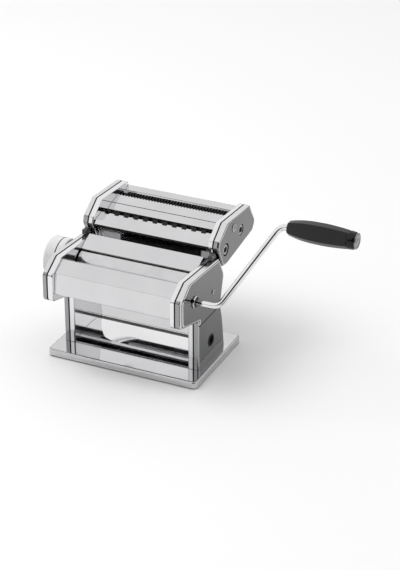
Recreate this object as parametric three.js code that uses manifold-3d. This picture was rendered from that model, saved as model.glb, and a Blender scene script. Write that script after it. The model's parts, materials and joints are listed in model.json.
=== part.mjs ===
// A hand-cranked pasta roller with a clip-on noodle cutter, in millimetres, +Z up, +X on the crank's side.
// Inside the model, X = 0 is the middle of the rollers, Y = 0 the middle of the base and Z = 0 the table.
// The last lines move the whole machine so that its origin is the bottom centre of its own box.
import * as THREE from "three";
import { mergeVertices } from "three/addons/utils/BufferGeometryUtils.js";
import Module from "manifold-3d";

const wasm = await Module();
wasm.setup();

// ---------- Driving dimensions ----------

const gap = 0.3; // between faces that touch
const runningGap = 0.35; // round a turning shaft
const sheet = 1.0; // folded cover sheets
const roller = { length: 150, diameter: 33.6, journal: 10, endGap: 1.5, widestGap: 2.4, closestGap: 0.2 };
const base = { margin: 8.7, depth: 131.4, corner: 6, edge: 2.4, top: 9.6, rim: 1.0, wall: 1.2 };
const foot = { diameter: 17, inset: 17 };
const frame = { web: 1.5, flange: 5.0, edge: 1.2 };
const cover = { seam: 1.0, depth: 7.3, wall: 1.2, straight: 4.6, legStep: 0.5 };
const axisHeight = 110; // both rollers
const frontAxisY = -51;
const leg = { front: -37.5, back: 37 };
const floorSheet = { front: -36.5, back: 37.5, rise: 6.2 };
const bush = { outer: roller.journal + 4.4, flange: roller.journal + 9, flangeThickness: 2 };
const block = { width: roller.journal + 6, above: 9, thickness: 3.6 };
const yoke = { diameter: 5, clear: 1.7, ahead: 2 };
const tieRod = { diameter: 6 };
const rollerDistance = roller.diameter + roller.widestGap;
const gear = {
  teeth: 18,
  tip: rollerDistance + 1.8,
  root: rollerDistance - 7,
  tipWidth: 1.1,
  rootWidth: 3.0,
  width: 4,
};
const crank = {
  rod: 7.7, flats: 6, flatLength: 18, play: 0.35,
  seat: 4.4, reach: 31.1, slant: 54.6,
};
const crankBore = crank.rod + 2 * crank.play;
const socket = {
  bore: crankBore,
  flats: crank.flats + 2 * crank.play,
  outer: crankBore + 3.6,
  collar: crankBore + 6.6,
  collarWidth: 2.4,
};
const clamp = { y: -2.9, z: 34.5, bore: 13.6, wall: 1.4, floor: 1.5, depth: 13 };
const coverScrew = { inwards: 1.9, rise: 6.4, head: 7, headHeight: 1.2, shank: 3.5 };
const knob = { diameter: 51, length: 23.8, shaft: 12, shoulder: 4.4, wall: 3, travel: 4 };
const washer = { diameter: knob.shaft + 7.2, thickness: 2, clear: 1.2 };
const pocket = { diameter: washer.diameter + 1.6 };
const spring = { wire: 1.0, diameter: knob.shaft + 4.5, turns: 2.5, length: 4.9 };
const pin = { diameter: 3.4, radius: 19, length: 8 };
const cam = { radius: 8, thickness: 3, turn: 280, noseGap: 0.35 };
const arm = { back: 51.5, up: 92.5, bendRadius: 16 };
const handle = { clear: 9, length: 83, rodDepth: 76, cap: 19, capThickness: 2, stem: 6, stemLength: 5 };
const cutterDistance = 18.4;
const cutter = { disc: cutterDistance + 2, groove: cutterDistance - 2.6, journal: 8, sideGap: 0.3 };
const finePair = { y: 44.5, z: 6.0, tilt: 1.5, pitch: 4, sides: 8, isSharp: true };
const widePair = { y: 0, z: -0.8, tilt: 5.6, pitch: 13, sides: 10, isSharp: false };
const cutterGear = {
  teeth: 17,
  tip: cutterDistance + 1.9,
  root: cutterDistance - 2.5,
  tipWidth: 0.7,
  rootWidth: 1.7,
  width: 3.6,
};
const cutterSocket = { outer: crankBore + 4, fineHole: crankBore + 5.6, wideHole: crankBore + 7.6 };
const cutterScrew = { y: 23.3, z: 18.5, head: 11, headHeight: 1, shank: 4 };
const cutterTie = { y: 33, z: -6, diameter: 5 };
const rail = { half: 55, channel: 4.2, wall: 1.5, height: 11, behindRoller: 31.4, belowAxis: 2 };
const hanger = { thickness: 2, clear: 0.8 };
const blade = { thickness: 0.8, clear: 0.5, height: 4.7, slope: 2.2 };
const combBar = { thickness: 0.8, clear: 0.5, height: 3.6 };

// ---------- Sizes that follow ----------

const rollerRadius = roller.diameter / 2;
const rearAxisY = frontAxisY + rollerDistance;
const rollerTravel = roller.widestGap - roller.closestGap;
const webInner = roller.length / 2 + roller.endGap;
const webOuter = webInner + frame.web;
const flangeEnd = webOuter + frame.flange;
const coverStart = flangeEnd + cover.seam;
const faceX = coverStart + cover.depth;
const coverInside = faceX - cover.wall;
const sheetHalf = webInner - gap;
const baseWidth = 2 * (faceX + base.margin);
const headTop = axisHeight + rollerRadius;
const crankInner = webOuter + crank.seat;
const firstBend = faceX + crank.reach;
const secondBend = firstBend + crank.slant;
const handleStart = secondBend + handle.clear;
const yokeDrop = rollerRadius + yoke.clear + yoke.diameter / 2;
const coverScrewPlace = {
  y: rearAxisY + gear.tip / 2 - coverScrew.inwards,
  z: axisHeight - gear.tip / 2 + coverScrew.rise,
};
const gearStart = webOuter + block.thickness + 1.7;
const railTop = axisHeight - rail.belowAxis;
const railStart = rearAxisY + rollerRadius + rail.behindRoller;
const cutterPlace = { y: rearAxisY + rollerRadius + 36.7, z: headTop + 11.2 };
const cutterGearStart = webOuter + 1.5;
const knobCamStart = webOuter + gap + block.thickness + 1.6;
const knobStart = faceX + 2.0;
const knobEnd = knobStart + knob.length;
const washerStart = knobEnd - knob.wall - knob.travel - washer.clear - washer.thickness;

// ---------- Materials ----------

const metal = (color, roughness) => new THREE.MeshStandardMaterial({ color, roughness, metalness: 1 });
const plastic = (color, roughness) => new THREE.MeshStandardMaterial({ color, roughness, metalness: 0 });
const chrome = metal(0xd8d9db, 0.12);
const satin = metal(0x8c8e91, 0.35);
const steel = metal(0x9a9c9e, 0.3);
const brightSheet = metal(0xdedfe0, 0.18);
const blackPlastic = plastic(0x1b1b1c, 0.4);
const greyPlastic = plastic(0xd4d5d6, 0.35);
const nylon = plastic(0x2a2a2c, 0.5);
const rubber = plastic(0x202020, 0.8);

// ---------- Solids ----------

// A closed three.js geometry as a solid that can be joined and cut.
function solidOf(geometry) {
  const bare = geometry.index ? geometry.toNonIndexed() : geometry.clone();
  bare.deleteAttribute("normal");
  bare.deleteAttribute("uv");
  const merged = mergeVertices(bare, 1e-4);
  const vertProperties = merged.attributes.position.array;
  const triVerts = new Uint32Array(merged.index.array);
  return new wasm.Manifold(new wasm.Mesh({ numProp: 3, vertProperties, triVerts }));
}

function geometryOf(solid) {
  const { vertProperties, triVerts, numProp } = solid.getMesh();
  const positions = new Float32Array((vertProperties.length / numProp) * 3);
  for (let i = 0; i < positions.length / 3; i++) {
    positions.set(vertProperties.subarray(i * numProp, i * numProp + 3), i * 3);
  }
  const geometry = new THREE.BufferGeometry();
  geometry.setAttribute("position", new THREE.BufferAttribute(positions, 3));
  geometry.setIndex(new THREE.BufferAttribute(triVerts, 1));
  geometry.computeVertexNormals();
  return geometry;
}

// Cuts each of the tools, which are geometries, out of a geometry.
function cut(geometry, ...tools) {
  let solid = solidOf(geometry);
  for (const tool of tools) solid = solid.subtract(solidOf(tool));
  return geometryOf(solid);
}

function join(...geometries) {
  let solid = solidOf(geometries[0]);
  for (const other of geometries.slice(1)) solid = solid.add(solidOf(other));
  return geometryOf(solid);
}

function piece(name, geometry, material, place = [0, 0, 0]) {
  const mesh = new THREE.Mesh(geometry, material);
  mesh.name = name;
  mesh.position.set(...place);
  return mesh;
}

// ---------- Outlines in the (Y, Z) plane ----------

const point = (y, z) => new THREE.Vector2(y, z);

// A closed outline, anticlockwise, from corners [y, z, radius], each radius as an arc of a few steps.
function rounded(corners, steps = 3) {
  const outline = [];
  corners.forEach(([y, z, radius = 0], i) => {
    const corner = point(y, z);
    if (radius === 0) {
      outline.push(corner);
      return;
    }
    const [py, pz] = corners[(i + corners.length - 1) % corners.length];
    const [ny, nz] = corners[(i + 1) % corners.length];
    const before = point(py, pz).sub(corner).normalize();
    const after = point(ny, nz).sub(corner).normalize();
    const half = Math.acos(before.dot(after)) / 2;
    const centre = before.clone().add(after).normalize().multiplyScalar(radius / Math.sin(half)).add(corner);
    const start = before.multiplyScalar(radius / Math.tan(half)).add(corner).sub(centre);
    const end = after.multiplyScalar(radius / Math.tan(half)).add(corner).sub(centre);
    const sweep = Math.atan2(start.cross(end), start.dot(end));
    for (let k = 0; k <= steps; k++) {
      outline.push(start.clone().rotateAround(point(0, 0), (sweep * k) / steps).add(centre));
    }
  });
  return outline;
}

// The same outline moved inwards by a distance.
function inset(outline, distance) {
  return outline.map((corner, i) => {
    const before = corner.clone().sub(outline[(i + outline.length - 1) % outline.length]).normalize();
    const after = outline[(i + 1) % outline.length].clone().sub(corner).normalize();
    const inwards = point(-before.y - after.y, before.x + after.x);
    return corner.clone().add(inwards.multiplyScalar(distance / (1 + before.dot(after))));
  });
}

// A bent sheet's outline: a line of points [y, z], thickened to its left-hand side.
function bent(line, thickness) {
  const path = line.map(([y, z]) => point(y, z));
  const far = path.map((corner, i) => {
    const before = corner.clone().sub(path[Math.max(i - 1, 0)]).normalize();
    const after = path[Math.min(i + 1, path.length - 1)].clone().sub(corner).normalize();
    if (i === 0) before.copy(after);
    if (i === path.length - 1) after.copy(before);
    const left = point(-before.y - after.y, before.x + after.x);
    return corner.clone().add(left.multiplyScalar(thickness / (1 + before.dot(after))));
  });
  return [...path.reverse(), ...far];
}

// ---------- Geometries ----------

const toX = new THREE.Matrix4().makeBasis(
  new THREE.Vector3(0, 1, 0),
  new THREE.Vector3(0, 0, 1),
  new THREE.Vector3(1, 0, 0),
);

// An outline in (Y, Z), with holes if any, drawn out along X.
function prism(outline, from, to, holes = []) {
  const shape = new THREE.Shape(outline);
  shape.holes = holes.map((hole) => new THREE.Path(hole));
  const geometry = new THREE.ExtrudeGeometry(shape, { depth: to - from, bevelEnabled: false });
  return geometry.applyMatrix4(toX.clone().setPosition(from, 0, 0));
}

// A body whose section changes along X: rings are [x, outline], all with the same number of points.
function loft(rings) {
  const count = rings[0][1].length;
  const positions = rings.flatMap(([x, outline]) => outline.flatMap((p) => [x, p.x, p.y]));
  const index = [];
  for (let r = 0; r < rings.length - 1; r++) {
    for (let i = 0; i < count; i++) {
      const a = r * count + i;
      const b = r * count + ((i + 1) % count);
      index.push(a, b, b + count, a, b + count, a + count);
    }
  }
  const last = (rings.length - 1) * count;
  const capOf = (ring) => THREE.ShapeUtils.triangulateShape(ring[1], []);
  for (const [a, b, c] of capOf(rings[0])) index.push(c, b, a);
  for (const [a, b, c] of capOf(rings[rings.length - 1])) index.push(last + a, last + b, last + c);
  const geometry = new THREE.BufferGeometry();
  geometry.setAttribute("position", new THREE.Float32BufferAttribute(positions, 3));
  geometry.setIndex(index);
  return geometry;
}

// A body turned about X from [x, radius] points, which run along X and start and end on the axis.
function turned(profile, sides = 20) {
  const points = profile.map(([x, radius]) => point(radius, x));
  const signedArea = THREE.ShapeUtils.area(points);
  if (signedArea < 0) points.reverse();
  return new THREE.LatheGeometry(points, sides).rotateZ(-Math.PI / 2);
}

// A round bar along X. A hole is drawn through its flats, so that its wall keeps the full radius.
function bar(from, to, radius, sides = 20) {
  return turned([[from, 0], [from, radius], [to, radius], [to, 0]], sides);
}

function hole(from, to, radius, sides = 20) {
  return bar(from, to, radius / Math.cos(Math.PI / sides), sides);
}

const moved = (geometry, y, z, x = 0) => geometry.translate(x, y, z);

function slab(y0, y1, z0, z1, x0, x1) {
  const box = new THREE.BoxGeometry(x1 - x0, y1 - y0, z1 - z0);
  return box.translate((x0 + x1) / 2, (y0 + y1) / 2, (z0 + z1) / 2);
}

// A spur gear with straight-sided teeth; its first tooth points along +Y, turned by an angle.
function spurGear({ teeth, tip, root, tipWidth, rootWidth, width }, from, bore, turn) {
  const outline = [];
  for (let tooth = 0; tooth < teeth; tooth++) {
    const middle = turn + (tooth * 2 * Math.PI) / teeth;
    const corners = [[root, -rootWidth], [tip, -tipWidth], [tip, tipWidth], [root, rootWidth]];
    for (const [diameter, side] of corners) {
      const angle = middle + side / diameter;
      outline.push(point((diameter / 2) * Math.cos(angle), (diameter / 2) * Math.sin(angle)));
    }
  }
  return cut(prism(outline, from, from + width), hole(from - 1, from + width + 1, bore / 2));
}

// The bore of a crank socket: round, with two flats that grip the flattened end of the crank.
function socketBore(from, to) {
  const round = solidOf(hole(from, to, socket.bore / 2, 16));
  const half = socket.flats / 2;
  const flats = solidOf(slab(-socket.bore, socket.bore, -half, half, from - 1, to + 1));
  return geometryOf(round.intersect(flats));
}

// ---------- Base ----------

function basePlate() {
  const corners = (dy, dx, radius) => [
    [-dx, -dy, radius],
    [dx, -dy, radius],
    [dx, dy, radius],
    [-dx, dy, radius],
  ];
  const outer = rounded(corners(base.depth / 2, baseWidth / 2, base.corner), 5);
  const shrink = base.edge * (1 - Math.SQRT1_2);
  const shell = (outline, bottom, top) =>
    loft([
      [bottom, outline],
      [top - base.edge, outline],
      [top - shrink, inset(outline, shrink)],
      [top, inset(outline, base.edge)],
    ]);
  const outside = shell(outer, base.rim, base.top);
  const inside = shell(inset(outer, base.wall), base.rim - 1, base.top - base.wall);
  // The loft runs along X, so it is turned to stand along Z: (x, y, z) becomes (y, z, x).
  const upright = new THREE.Matrix4().set(0, 1, 0, 0, 0, 0, 1, 0, 1, 0, 0, 0, 0, 0, 0, 1);
  return piece("base_plate", cut(outside, inside).applyMatrix4(upright), chrome);
}

function feet() {
  const group = new THREE.Group();
  const height = base.top - base.wall - gap;
  for (const [row, ySign] of [["front", -1], ["rear", 1]]) {
    for (const [side, xSign] of [["left", -1], ["right", 1]]) {
      const pad = new THREE.CylinderGeometry(foot.diameter / 2, foot.diameter / 2 - 1, height, 16);
      pad.rotateX(Math.PI / 2);
      const x = xSign * (baseWidth / 2 - foot.inset);
      const y = ySign * (base.depth / 2 - foot.inset);
      group.add(piece(`foot_${row}_${side}`, pad, rubber, [x, y, height / 2]));
    }
  }
  return group;
}

// The arched sheet between the legs, on which the pasta slides out.
function archedFloor() {
  const half = (floorSheet.back - floorSheet.front) / 2;
  const radius = (half ** 2 + floorSheet.rise ** 2) / (2 * floorSheet.rise);
  const spread = Math.asin(half / radius);
  const steps = 12;
  const line = [];
  for (let i = 0; i <= steps; i++) {
    const angle = spread * (1 - (2 * i) / steps);
    const y = (floorSheet.front + floorSheet.back) / 2 - radius * Math.sin(angle);
    line.push([y, base.top + gap + floorSheet.rise - radius * (1 - Math.cos(angle))]);
  }
  return piece("floor_sheet", prism(bent(line, sheet), -sheetHalf, sheetHalf), chrome);
}

// ---------- Side frames and side covers of the body ----------

// The rim of the side frame and its cover: the roller head over the leg.
const bodyRim = rounded([
  [frontAxisY - 12.4, headTop + 12.4, 4],
  [frontAxisY - rollerRadius - 20.2, headTop - 2, 7],
  [frontAxisY - rollerRadius - 20.6, axisHeight - rollerRadius - 3.2, 7],
  [leg.front, axisHeight - rollerRadius - 17.4, 4],
  [leg.front, base.top + gap],
  [leg.back, base.top + gap],
  [leg.back - 6.5, axisHeight - rollerRadius - 44.2, 20],
  [rearAxisY + rollerRadius + 22.7, axisHeight - rollerRadius - 23.2, 15],
  [rearAxisY + rollerRadius + 33.2, axisHeight - 2.5, 12],
  [rearAxisY + rollerRadius + 18.5, headTop + 6.6, 3],
]);

// The flat outer face of the cover, inside its rounded edge. It has as many corners as the rim.
const bodyFace = rounded([
  [frontAxisY - 9.5, headTop + 9.2, 4],
  [frontAxisY - rollerRadius - 13.2, headTop - 5.2, 7],
  [frontAxisY - rollerRadius - 12.6, axisHeight - rollerRadius - 2.2, 7],
  [leg.front + 4.5, axisHeight - rollerRadius - 15.0, 4],
  [leg.front + 6, base.top + gap],
  [leg.back - 5.6, base.top + gap],
  [leg.back - 11, axisHeight - rollerRadius - 44.2, 20],
  [rearAxisY + rollerRadius + 19.0, axisHeight - rollerRadius - 23.2, 15],
  [rearAxisY + rollerRadius + 29.5, axisHeight - 2.5, 12],
  [rearAxisY + rollerRadius + 16.8, headTop + 3.6, 3],
]);

// The pressed inner frame: a flat web with an edge turned outwards.
function sideFrame(rim, openings) {
  const outside = prism(rim, webInner, flangeEnd);
  const inside = prism(inset(rim, frame.edge), webOuter, flangeEnd + 1);
  return cut(outside, inside, ...openings);
}

// The outer cover: a shallow shell with a rounded edge, open towards the frame.
function sideCover(rim, face, openings) {
  const shoulder = rim.map((p, i) => p.clone().lerp(face[i], 0.32));
  const outside = loft([
    [coverStart, rim],
    [coverStart + cover.straight, rim],
    [faceX - (cover.depth - cover.straight) * 0.24, shoulder],
    [faceX, face],
  ]);
  const inside = loft([
    [coverStart - 1, inset(rim, cover.wall)],
    [coverStart + cover.straight, inset(rim, cover.wall)],
    [coverInside, inset(face, cover.wall)],
  ]);
  return cut(outside, inside, ...openings);
}

// The slot that the rear roller's journal, or the yoke bar, slides in.
function travelSlot(y, z, radius) {
  const half = radius + runningGap;
  return slab(y - rollerTravel - half, y + half, z - half, z + half, webInner - 1, webOuter + 1);
}

function bodySide(name) {
  const group = new THREE.Group();
  group.scale.x = name === "right" ? 1 : -1;
  const isRight = name === "right";
  const frontBore = moved(hole(webInner - 1, webOuter + 1, bush.outer / 2 + gap), frontAxisY, axisHeight);
  const rearSlot = travelSlot(rearAxisY, axisHeight, roller.journal / 2);
  const yokeSlot = travelSlot(rearAxisY + yoke.ahead, axisHeight - yokeDrop, yoke.diameter / 2);
  const plate = sideFrame(bodyRim, [frontBore, rearSlot, yokeSlot]);
  group.add(piece(`${name}_frame`, plate, chrome));

  const openings = [];
  if (isRight) {
    openings.push([socket.outer / 2 + runningGap, frontAxisY, axisHeight]);
    openings.push([clamp.bore / 2 + clamp.wall + gap, clamp.y, clamp.z]);
    openings.push([coverScrew.shank / 2 + gap, coverScrewPlace.y, coverScrewPlace.z]);
  } else {
    openings.push([knob.shaft / 2 + runningGap, rearAxisY, axisHeight]);
  }
  const holes = openings.map(([radius, y, z]) => moved(hole(coverInside - 3, faceX + 1, radius), y, z));
  // The leg's face lies a little lower than the head's.
  const legTop = axisHeight - rollerRadius - 22.5;
  const step = slab(leg.front, leg.back, 0, legTop, faceX - cover.legStep, faceX + 1);
  group.add(piece(`${name}_cover`, sideCover(bodyRim, bodyFace, [step, ...holes]), satin));
  return group;
}

// ---------- Sheets and rods between the side frames ----------

function frontCover() {
  const line = [
    [frontAxisY - 6.5, headTop + 3.2],
    [frontAxisY - 10.5, headTop + 8.7],
    [frontAxisY - rollerRadius - 13.2, headTop - 1.8],
    [frontAxisY - rollerRadius - 16.2, axisHeight - rollerRadius + 5.8],
    [frontAxisY - rollerRadius - 6.2, axisHeight - rollerRadius - 0.2],
  ];
  return piece("front_cover", prism(bent(line, sheet), -sheetHalf, sheetHalf), brightSheet);
}

function hopperSheet() {
  const line = [
    [rearAxisY + 22.5, headTop + 10.7],
    [rearAxisY - 2.2, headTop + 0.9],
  ];
  return piece("hopper_sheet", prism(bent(line, -sheet), -sheetHalf, sheetHalf), brightSheet);
}

function rearCover() {
  const line = [
    [rearAxisY + rollerRadius + 11.2, axisHeight - rollerRadius - 5],
    [rearAxisY + rollerRadius + 25.5, axisHeight - rollerRadius - 1],
    [rearAxisY + rollerRadius + 31.0, axisHeight - 2.5],
    [rearAxisY + rollerRadius + 18.5, headTop + 4.6],
    [rearAxisY + rollerRadius + 7.0, headTop + 9.6],
  ];
  return piece("rear_cover", prism(bent(line, sheet), -sheetHalf, sheetHalf), brightSheet);
}

function bodyTieRod() {
  const rod = bar(-sheetHalf, sheetHalf, tieRod.diameter / 2, 14);
  return piece("rear_tie_rod", rod, steel, [0, rearAxisY + rollerRadius + 18.2, axisHeight + 2]);
}

// A blade under a roller: its edge stops just short of the roller, on a line turned from straight down.
function scraper(name, axisY, lean, half) {
  const reach = rollerRadius + blade.clear;
  const edge = [axisY + lean * reach * 0.5, axisHeight - reach * Math.sqrt(0.75)];
  const root = [edge[0] - lean * blade.slope, axisHeight - reach - blade.height];
  const line = lean > 0 ? [root, edge] : [edge, root];
  return piece(name, prism(bent(line, -blade.thickness), -half, half), steel);
}

// ---------- Rollers, gears and their bearings ----------

function frontRoller() {
  const end = webOuter + bush.flangeThickness + 0.5;
  const journal = roller.journal / 2;
  const half = roller.length / 2;
  const body = turned([
    [-end, 0],
    [-end, journal],
    [-half, journal],
    [-half, rollerRadius],
    [half, rollerRadius],
    [half, journal],
    [end, journal],
    [end, 0],
  ], 32);
  return piece("front_roller", body, steel);
}

function rearRoller() {
  const journal = roller.journal / 2;
  const half = roller.length / 2;
  const left = -(webOuter + gap + block.thickness + 0.5);
  const right = gearStart + gear.width + 0.5;
  const body = turned([
    [left, 0],
    [left, journal],
    [-half, journal],
    [-half, rollerRadius],
    [half, rollerRadius],
    [half, journal],
    [right, journal],
    [right, 0],
  ], 32);
  return piece("rear_roller", body, steel);
}

function driveSocket() {
  const start = webOuter + bush.flangeThickness + 0.8;
  const collarStart = faceX + gap + 0.2;
  const end = collarStart + socket.collarWidth;
  const body = turned([
    [start, 0],
    [start, socket.outer / 2],
    [collarStart, socket.outer / 2],
    [collarStart, socket.collar / 2],
    [end - 0.6, socket.collar / 2],
    [end, socket.collar / 2 - 0.6],
    [end, 0],
  ], 24);
  return piece("drive_socket", cut(body, socketBore(crankInner - 0.4, end + 1)), steel);
}

function frontBush(name) {
  const flangeStart = webOuter + gap;
  const sleeve = bar(webInner, flangeStart + bush.flangeThickness, bush.outer / 2);
  const flange = bar(flangeStart, flangeStart + bush.flangeThickness, bush.flange / 2);
  const bore = hole(webInner - 1, flangeStart + 5, roller.journal / 2 + runningGap);
  return piece(`${name}_bush`, cut(join(sleeve, flange), bore), nylon, [0, frontAxisY, axisHeight]);
}

// The block that carries a journal of the rear roller and slides with it; the left one has the cam's nose.
function bearingBlock(name) {
  const start = webOuter + gap;
  const end = start + block.thickness;
  const bottom = -yokeDrop - yoke.diameter / 2 - 1.5;
  const plate = slab(-block.width / 2, block.width / 2, bottom, block.above, start, end);
  const journalBore = hole(start - 1, end + 1, roller.journal / 2 + runningGap);
  const yokeBore = moved(hole(start - 1, end + 1, yoke.diameter / 2 + 0.15, 14), yoke.ahead, -yokeDrop);
  let body = cut(plate, journalBore, yokeBore);
  if (name === "left") {
    const noseBack = -(cam.radius + cam.noseGap);
    const nose = slab(noseBack - 3, noseBack, -2, 2, end - 1, knobCamStart + cam.thickness);
    const arm = slab(noseBack - 3, -block.width / 2 + 1, -2, 2, start, end);
    body = join(cut(join(plate, arm), journalBore, yokeBore), nose);
  }
  return piece(`${name}_bearing_block`, body, nylon, [0, rearAxisY, axisHeight]);
}

// ---------- Thickness knob, on the left ----------

function knobShaft() {
  const washerEnd = washerStart + washer.thickness;
  const body = turned([
    [knobCamStart - 0.6, 0],
    [knobCamStart - 0.6, knob.shaft / 2],
    [washerStart, knob.shaft / 2],
    [washerStart, washer.diameter / 2],
    [washerEnd, washer.diameter / 2],
    [washerEnd, 0],
  ]);
  return piece("knob_shaft", body, steel);
}

// A snail cam: its radius grows evenly with the turn, so the rollers close evenly.
function gapCam() {
  const outline = [];
  const turn = THREE.MathUtils.degToRad(cam.turn);
  const grown = cam.radius + rollerTravel;
  const steps = 28;
  for (let i = 0; i <= steps; i++) {
    const angle = Math.PI + (turn * i) / steps;
    const radius = cam.radius + (rollerTravel * i) / steps;
    outline.push(point(radius * Math.cos(angle), radius * Math.sin(angle)));
  }
  const fall = 6;
  for (let i = 1; i < fall; i++) {
    const angle = Math.PI + turn + ((2 * Math.PI - turn) * 0.75 * i) / fall;
    const radius = grown - (rollerTravel * i) / fall;
    outline.push(point(radius * Math.cos(angle), radius * Math.sin(angle)));
  }
  const body = prism(outline, knobCamStart, knobCamStart + cam.thickness);
  const bore = hole(knobCamStart - 1, knobCamStart + cam.thickness + 1, knob.shaft / 2 + 0.15);
  return piece("gap_cam", cut(body, bore), steel);
}

function knobCup() {
  const outer = knob.diameter / 2;
  const pocketEnd = knobEnd - knob.wall;
  const body = turned([
    [pocketEnd, 0],
    [pocketEnd, pocket.diameter / 2],
    [knobStart + knob.shoulder, pocket.diameter / 2],
    [knobStart + knob.shoulder, knob.shaft / 2 + runningGap],
    [knobStart, knob.shaft / 2 + runningGap],
    [knobStart, outer - 1],
    [knobStart + 1, outer],
    [knobEnd - 2, outer],
    [knobEnd - 0.6, outer - 0.6],
    [knobEnd, outer - 2],
    [knobEnd, 0],
  ], 28);
  const pinBore = hole(knobStart - 1, knobStart + pin.length, pin.diameter / 2 + 0.2, 12);
  const pinHole = moved(pinBore, 0, pin.radius);
  return piece("knob", cut(body, pinHole), greyPlastic);
}

function indexPin() {
  const tip = faceX + 0.5;
  const radius = pin.diameter / 2;
  const body = turned([
    [tip, 0],
    [tip + 0.6, radius * 0.7],
    [tip + 1.2, radius],
    [knobStart + pin.length - gap, radius],
    [knobStart + pin.length - gap, 0],
  ], 12);
  return piece("index_pin", body, steel, [0, 0, pin.radius]);
}

class Helix extends THREE.Curve {
  constructor(start, radius, turns, length) {
    super();
    Object.assign(this, { start, radius, turns, length });
  }

  getPoint(t, target = new THREE.Vector3()) {
    const angle = 2 * Math.PI * this.turns * t;
    const along = this.start + this.length * t;
    return target.set(along, this.radius * Math.cos(angle), this.radius * Math.sin(angle));
  }
}

// The spring is drawn as short as the pulled knob presses it.
function knobSpring() {
  const start = washerStart - spring.length + spring.wire / 2 + 0.1;
  const path = new Helix(start, spring.diameter / 2, spring.turns, spring.length - spring.wire - gap);
  const wire = new THREE.Shape(polygon(spring.wire / 2, 5));
  return piece("knob_spring", new THREE.ExtrudeGeometry(wire, { steps: 34, extrudePath: path }), steel);
}

// ---------- Crank and handle, about the crank's axis ----------

function polygon(radius, sides) {
  const corners = [];
  for (let i = 0; i < sides; i++) {
    const angle = (2 * Math.PI * i) / sides;
    corners.push(point(radius * Math.cos(angle), radius * Math.sin(angle)));
  }
  return corners;
}

// A line of points with each inner corner rounded.
function roundedPath(points, radius) {
  const path = new THREE.CurvePath();
  let from = points[0];
  for (let i = 1; i < points.length - 1; i++) {
    const back = points[i - 1].clone().sub(points[i]).normalize();
    const on = points[i + 1].clone().sub(points[i]).normalize();
    const length = radius / Math.tan(back.angleTo(on) / 2);
    const start = back.multiplyScalar(length).add(points[i]);
    const end = on.multiplyScalar(length).add(points[i]);
    path.add(new THREE.LineCurve3(from, start));
    path.add(new THREE.QuadraticBezierCurve3(start, points[i], end));
    from = end;
  }
  path.add(new THREE.LineCurve3(from, points[points.length - 1]));
  return path;
}

function crankRod() {
  const path = roundedPath([
    new THREE.Vector3(crankInner, 0, 0),
    new THREE.Vector3(firstBend, 0, 0),
    new THREE.Vector3(secondBend, arm.back, arm.up),
    new THREE.Vector3(handleStart + handle.rodDepth, arm.back, arm.up),
  ], arm.bendRadius);
  const section = new THREE.Shape(polygon(crank.rod / 2, 8));
  const rod = new THREE.ExtrudeGeometry(section, { steps: 46, extrudePath: path });
  const flatEnd = crankInner + crank.flatLength;
  const above = slab(-crank.rod, crank.rod, crank.flats / 2, crank.rod, crankInner - 1, flatEnd);
  const below = slab(-crank.rod, crank.rod, -crank.rod, -crank.flats / 2, crankInner - 1, flatEnd);
  return piece("crank_rod", cut(rod, above, below), chrome);
}

function handleGrip() {
  const end = handleStart + handle.length;
  const bore = (crank.rod / 2 + runningGap) / Math.cos(Math.PI / 12);
  const stemHole = handle.stem / 2 + gap;
  const body = turned([
    [handleStart + handle.rodDepth + 0.6, 0],
    [handleStart + handle.rodDepth + 0.6, bore],
    [handleStart, bore],
    [handleStart, 8.2],
    [handleStart + 6, 9.6],
    [handleStart + 19, 12],
    [handleStart + 45, 13],
    [handleStart + 66, 11.8],
    [end - 9, 10.9],
    [end - 2, 10.6],
    [end, 10],
    [end, stemHole],
    [end - handle.stemLength - gap, stemHole],
    [end - handle.stemLength - gap, 0],
  ], 16);
  return piece("handle", body, blackPlastic);
}

function handleCap() {
  const end = handleStart + handle.length;
  const body = turned([
    [end - handle.stemLength, 0],
    [end - handle.stemLength, handle.stem / 2],
    [end + gap, handle.stem / 2],
    [end + gap, handle.cap / 2],
    [end + gap + handle.capThickness - 0.6, handle.cap / 2],
    [end + gap + handle.capThickness, handle.cap / 2 - 0.8],
    [end + gap + handle.capThickness, 0],
  ], 16);
  return piece("handle_cap", body, steel);
}

// ---------- Screws, clamp socket and the rail that the cutter hangs on ----------

function screw(name, { head, headHeight, shank }, material) {
  const body = turned([
    [webOuter + gap, 0],
    [webOuter + gap, shank / 2],
    [faceX + gap, shank / 2],
    [faceX + gap, head / 2],
    [faceX + gap + headHeight * 0.5, head / 2 - 0.3],
    [faceX + gap + headHeight, head / 2 - 1.4],
    [faceX + gap + headHeight, 0],
  ], 16);
  return piece(name, body, material);
}

function clampSocket() {
  const mouth = faceX;
  const outer = clamp.bore / 2 + clamp.wall;
  const bottom = mouth - clamp.depth;
  const body = bar(bottom + gap, mouth, outer, 20);
  const bore = hole(bottom + gap + clamp.floor, mouth + 1, clamp.bore / 2);
  return piece("clamp_socket", cut(body, bore), nylon, [0, clamp.y, clamp.z]);
}

function cutterRail() {
  const back = railStart + rail.wall + rail.channel + rail.wall;
  const outline = [
    point(railStart, railTop - rail.height),
    point(back, railTop - rail.height),
    point(back, railTop),
    point(back - rail.wall, railTop),
    point(back - rail.wall, railTop - rail.height + rail.wall),
    point(railStart + rail.wall, railTop - rail.height + rail.wall),
    point(railStart + rail.wall, railTop),
    point(railStart, railTop),
  ];
  return piece("cutter_rail", prism(outline, -rail.half, rail.half), steel);
}

// ---------- Noodle cutter, about the axis of its first wide cutting roller ----------

const cutterRim = rounded([
  [3.0, 32.3, 5],
  [-19.0, 17.0, 3],
  [-21.9, 9.0, 4],
  [-7.4, -20.2, 3],
  [3.5, -21.8, 8],
  [81.5, -10.5, 6],
  [88.5, 1.0, 6],
  [72.5, 27.6, 5],
]);

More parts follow.
